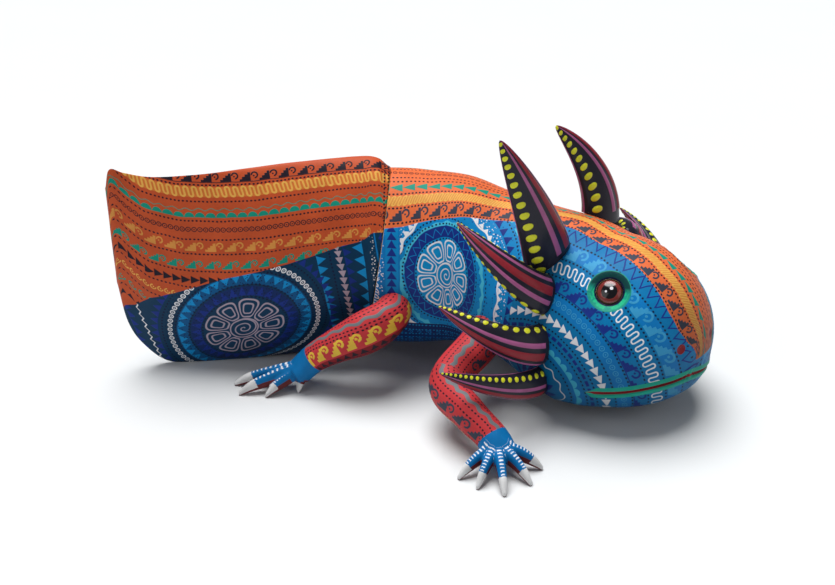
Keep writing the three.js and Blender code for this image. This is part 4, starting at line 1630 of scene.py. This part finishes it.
def tail_columns(paint, x, y):
    """The upright rows, towards the edge of the tail and towards the seam."""
    slanted = x + 63.9 + y * 0.275
    paint.coat(zigzag(y, slanted, 5.0, 1.0, 0.9), CHALK, 1.2)
    paint.coat(teeth(y, slanted + 7.5, 6.0, 4.6), INDIGO)
    rows = x + y * 0.15
    paint.coat(teeth(y, rows - 58.0, 7.0, 6.0), SKY)
    fine_dots(paint, y, rows - 63.6, MIDNIGHT)
    paint.coat(arrows(-y, rows - 69.3, 4.6, 5.2), ROSE_GREY, 1.2)
    paint.coat(teeth(y, rows - 75.6, 6.4, 5.4), INDIGO)
    paint.coat(teeth(y, 83.2 - rows, 8.0, 7.6), SKY)
    scatter(paint, 640.0, 0.28, CHALK, stripe(rows - 98.0, 4.4))
    paint.coat(stripe(rows - 101.4, 0.8), AZURE, 0.3)
    paint.coat(arrows(y, rows - 105.6, 5.2, 5.0), INDIGO)


def tail_material():
    paint = Paint("painted_tail", TAIL_ORANGE)
    length, band, edge = paint.field("bands")
    forward, up, _ = paint.field("flank")
    x, y = paint.by_hand(length, band, 0.45)
    tail_bands(paint, x, y)
    for column in (3.2, 0.8):
        fine_dots(paint, band, length - column)
    # The tail's blue layer: its ground is the flank's blue darkened as painted shade.
    blue = paint.layer(SHADED_TAIL_BLUE)
    x, y = paint.by_hand(forward, up, 0.5)
    tail_columns(blue, x, y)
    tail_rosette(blue, x, y)
    belly_rows(blue, x, y, -46.0)
    paint.over(blue, -edge)
    paint.tint(0.24, 60.0)
    return paint.finish()


def gill_material():
    paint = Paint("painted_gill", GILL_BLACK)
    beads, rim, face = paint.field("horn")
    paint.coat(gill_stripe(NARROW, beads, face), MAUVE)
    paint.coat(gill_stripe(WIDE, beads, face), GARNET)
    paint.coat(gill_dots(beads, rim), LEMON)
    paint.tint(0.3, 110.0)
    return paint.finish(0.34, coat=0.15)


def hind_rows(paint, x, y):
    """Rows along a hind limb: x runs along it, y up from its outer side."""
    paint.coat(-3.0 - y, DARK_RED, 0.2)
    paint.coat(stripe(abs(y) - 33.0, 6.0), DARK_RED, 0.2)
    paint.coat(wave_line(x, y - 14.2, 11.0, 0.9, 2.6), SMOKE)
    for row in (18.4, 10.6, 8.2, 22.0, 26.0, -9.4):
        fine_dots(paint, x, y - row)
    paint.coat(step_waves(-x, y - 2.6, 10.5, 8.4), YELLOW)
    paint.coat(teeth(x, y + 5.6, 5.6, 4.6), SOOT)
    paint.coat(hooks(x, y - 30.0, 6.0, 1.8, 0.7), YELLOW)
    fine_dots(paint, x, y + 14.0)


def fore_rows(paint, x, y):
    """Rows along a fore limb."""
    paint.coat(step_waves(x, y - 2.0, 13.5, 7.4), SLATE)
    paint.coat(wave_line(x, y - 16.4, 9.0, 0.8, 3.0), SMOKE)
    paint.coat(wave_line(x, y + 15.4, 10.0, 0.7, 2.4), SMOKE)
    for row in (7.8, 12.2, 20.6, 24.6, -4.6, -18.8):
        fine_dots(paint, x, y - row)
    paint.coat(meander(x, y + 9.2, 5.0, 5.0, 0.8, 0.3), YELLOW)
    paint.coat(-21.0 - y, DARK_RED, 0.2)
    paint.coat(teeth(x, y + 24.6, 5.6, 4.6), SOOT)


def foot_coats(paint, along, side, height, wrist):
    """The blue foot with white ticks, red-brown sides, and pale nails."""
    foot = least(wrist + 1.0, 40.0)
    paint.coat(foot, FOOT_BLUE, 0.4)
    underside = least((0.12 - height) * 5.0, (along - 0.3) * 20.0)
    paint.coat(least(underside, foot), BROWN_RED, 0.3)
    ticks = least(stripe(wrapped(along, 0.055) * 30.0, 0.55), (0.42 - abs(side)) * 3.0)
    ticks = least(ticks, least((height - 0.3) * 6.0, (along - 0.12) * 30.0))
    paint.coat(least(ticks, foot), CHALK, 1.0)
    nail = least((along - 0.58) * 30.0, (height + 0.3) * 5.0)
    paint.coat(least(nail, foot), NAIL, 0.3)


def leg_material(kind):
    paint = Paint("painted_" + kind + "_leg", RED)
    length, girth, wrist = paint.field("limb")
    along, side, height = paint.field("toe")
    x, y = paint.by_hand(length, girth, 0.4)
    rows = {"hind": hind_rows, "fore": fore_rows}[kind]
    rows(paint, x, y)
    foot_coats(paint, along, side, height, wrist)
    paint.tint(0.28, 80.0)
    return paint.finish()


def eye_material():
    """A black bead with a red-brown ring, and two white dots painted on as highlights."""
    paint = Paint("glass_bead", PUPIL)
    x, y, _ = paint.field("iris")
    away = span(x, y)
    uneven = paint.noise(420.0)[0]
    paint.coat(least(0.95 + uneven * 0.5 - abs(away - 6.1), 8.0), IRIS, 0.0)
    # Painted highlights: two white glints laid into the bead's colour.
    paint.coat(0.8 + uneven * 0.5 - span(x - 1.1, y - 1.9), CHALK, 0.0)
    paint.coat(0.5 + uneven * 0.3 - span(x + 1.9, y + 0.6), CHALK, 0.0)
    return paint.finish(0.12, 0.05, 0.2, 1200.0, coat=0.35, specular=0.4)


HEART = {"y": -20.0, "z": -30.0, "pitch": 5.0}    # the heart of the tree, and its growth rings


def wood_material():
    """Bare wood, its grain and growth rings running along x."""
    wood = Paint("bare_wood", WOOD_LIGHT)
    streaks = wood.noise(160.0, 4.0, 0.6, (0.12, 1.0, 1.0))
    _, across, up = wood.place()
    away = span(across - HEART["y"], up - HEART["z"]) + streaks[1] * 3.0
    late_wood = (abs(wrapped(away, HEART["pitch"])) - 1.9) * 0.4
    wood.coat(least(late_wood, streaks[0] * 0.6 - 0.2), WOOD_DARK, 0.4)
    wood.tint(0.25, 60.0)
    return wood.finish(0.62, 0.12, 0.6, 700.0, specular=0.35)


def plain_paint(name, ground):
    paint = Paint(name, ground)
    paint.tint(0.2, 60.0)
    return paint.finish()


# ------------------------------------------------------------------ assembly

CAMERA = {"distance": 850.0, "rise": 30.0, "target_z": 60.0, "lens": 57.0, "shift": (0.0114, 0.0234)}
FLOOR = {"half": 9000.0, "lines": 12}
LAMP_SIZE = 1.1                  # metres, as lamps are placed in
LIT_PLACE = (0, 0, 0.05)
SKY_TONE = (0.93, 0.96, 1.0, 1.0)


def body_of(node):
    """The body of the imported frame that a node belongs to."""
    if node == "tail" or node.startswith("gill"):
        return node + "_piece"
    return "figure"


def put(piece, node):
    """Ties a finished piece to the part of the model that it shows."""
    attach(piece, body_of(node))
    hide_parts(node)


def build_figure():
    wood = wood_material()
    put(make_body([body_material(), wood]), "body")
    put(make_tail([tail_material(), wood]), "tail")
    gill_paint = gill_material()
    for node, gill in ALL_GILLS.items():
        put(make_gill(node, gill, [gill_paint, wood]), node)
    paints = {"fore": leg_material("fore"), "hind": leg_material("hind")}
    for node, leg in ALL_LEGS.items():
        kind, _, side = node.split("_")
        put(make_leg(node, leg, [paints[kind], wood]), node)
        dowel = kind + "_dowel_" + side
        put(make_dowel("turned_" + dowel, leg["dowel"], [wood]), dowel)
    bead = eye_material()
    for side, eye in EYES.items():
        put(make_eye(side, eye, [bead]), "eye_" + side)


def paint_the_rest():
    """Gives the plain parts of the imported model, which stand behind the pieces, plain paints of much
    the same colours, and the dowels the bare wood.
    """
    grounds = {"body": SKY, "tail": TAIL_ORANGE, "gill": GILL_BLACK,
               "fore": RED, "hind": RED, "eye": SOOT}
    plain = {part: plain_paint(part + "_plain", ground) for part, ground in grounds.items()}
    plain["dowel"] = bpy.data.materials["bare_wood"]
    for name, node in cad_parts.items():
        key = "dowel" if "dowel" in name else name.split("_")[0]
        node.data.materials.clear()
        node.data.materials.append(plain[key])


def make_camera():
    rise = math.radians(CAMERA["rise"])
    away = CAMERA["distance"]
    eye = np.array([0, -away * math.cos(rise), CAMERA["target_z"] + away * math.sin(rise)])
    data = bpy.data.cameras.new("view")
    data.lens = CAMERA["lens"]
    data.shift_x, data.shift_y = CAMERA["shift"]
    camera = linked("view", data)
    camera.location = (eye - MIDDLE) * MM
    camera.rotation_euler = (math.pi / 2 - rise, 0, 0)
    bpy.context.scene.camera = camera


def stage_material():
    stage = Paint("pale_stage", STAGE_GREY)
    stage.tint(0.015, 8.0)
    return stage.finish(0.85, 0.05, 0.2, 300.0, specular=0.2)


def make_floor():
    """A wide pale floor."""
    n = FLOOR["lines"]
    lines = np.linspace(-FLOOR["half"], FLOOR["half"], n)
    points = [(x, y, 0.0) for y in lines for x in lines]
    corners = [j * n + i for j in range(n - 1) for i in range(n - 1)]
    faces = [(k, k + 1, k + n + 1, k + n) for k in corners]
    new_mesh("stage_floor", points, faces, [stage_material()])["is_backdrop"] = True


def linked(name, data):
    """An object in the scene for a lamp or a camera."""
    obj = bpy.data.objects.new(name, data)
    bpy.context.scene.collection.objects.link(obj)
    return obj


def make_lamp(name, place, power_w):
    """A square soft lamp that faces the figure."""
    data = bpy.data.lights.new(name, "AREA")
    data.shape = "SQUARE"
    data.size = LAMP_SIZE
    data.energy = power_w
    lamp = linked(name, data)
    lamp.location = place
    lamp.rotation_euler = (Vector(LIT_PLACE) - Vector(place)).to_track_quat("-Z", "Y").to_euler()


def make_sun(strength, softness, lean):
    """Soft light from above and a little behind. Angles are in degrees."""
    data = bpy.data.lights.new("soft_top", "SUN")
    data.energy = strength
    data.angle = math.radians(softness)
    linked("soft_top", data).rotation_euler = (-math.radians(lean[0]), math.radians(lean[1]), 0)


def make_sky(light, seen):
    """An even sky: how bright it is as a light, and how bright it looks behind the floor."""
    world = bpy.data.worlds.new("studio")
    world.use_nodes = True
    tree = world.node_tree
    back = tree.nodes["Background"]
    back.inputs[0].default_value = SKY_TONE
    path = tree.nodes.new("ShaderNodeLightPath")
    strength = sum_node("MULTIPLY_ADD", Field(path.outputs["Is Camera Ray"]), seen - light, light)
    feed(back.inputs[1], strength)
    bpy.context.scene.world = world


def make_lights():
    make_sun(4.3, 45.0, (14.0, -8.0))
    make_lamp("soft_left", (-1.2, -0.9, 1.0), 4.0)
    make_lamp("soft_right", (1.2, -0.9, 0.9), 3.0)
    make_sky(0.15, 0.95)


def save_sizes():
    sizes = {name: [list(map(float, corner)) for corner in box]
             for name, box in (("cad", CAD_BOX), ("visual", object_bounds()))}


build_figure()
paint_the_rest()
make_camera()
make_floor()
make_lights()
bpy.context.scene.view_settings.view_transform = "Standard"
save_sizes()
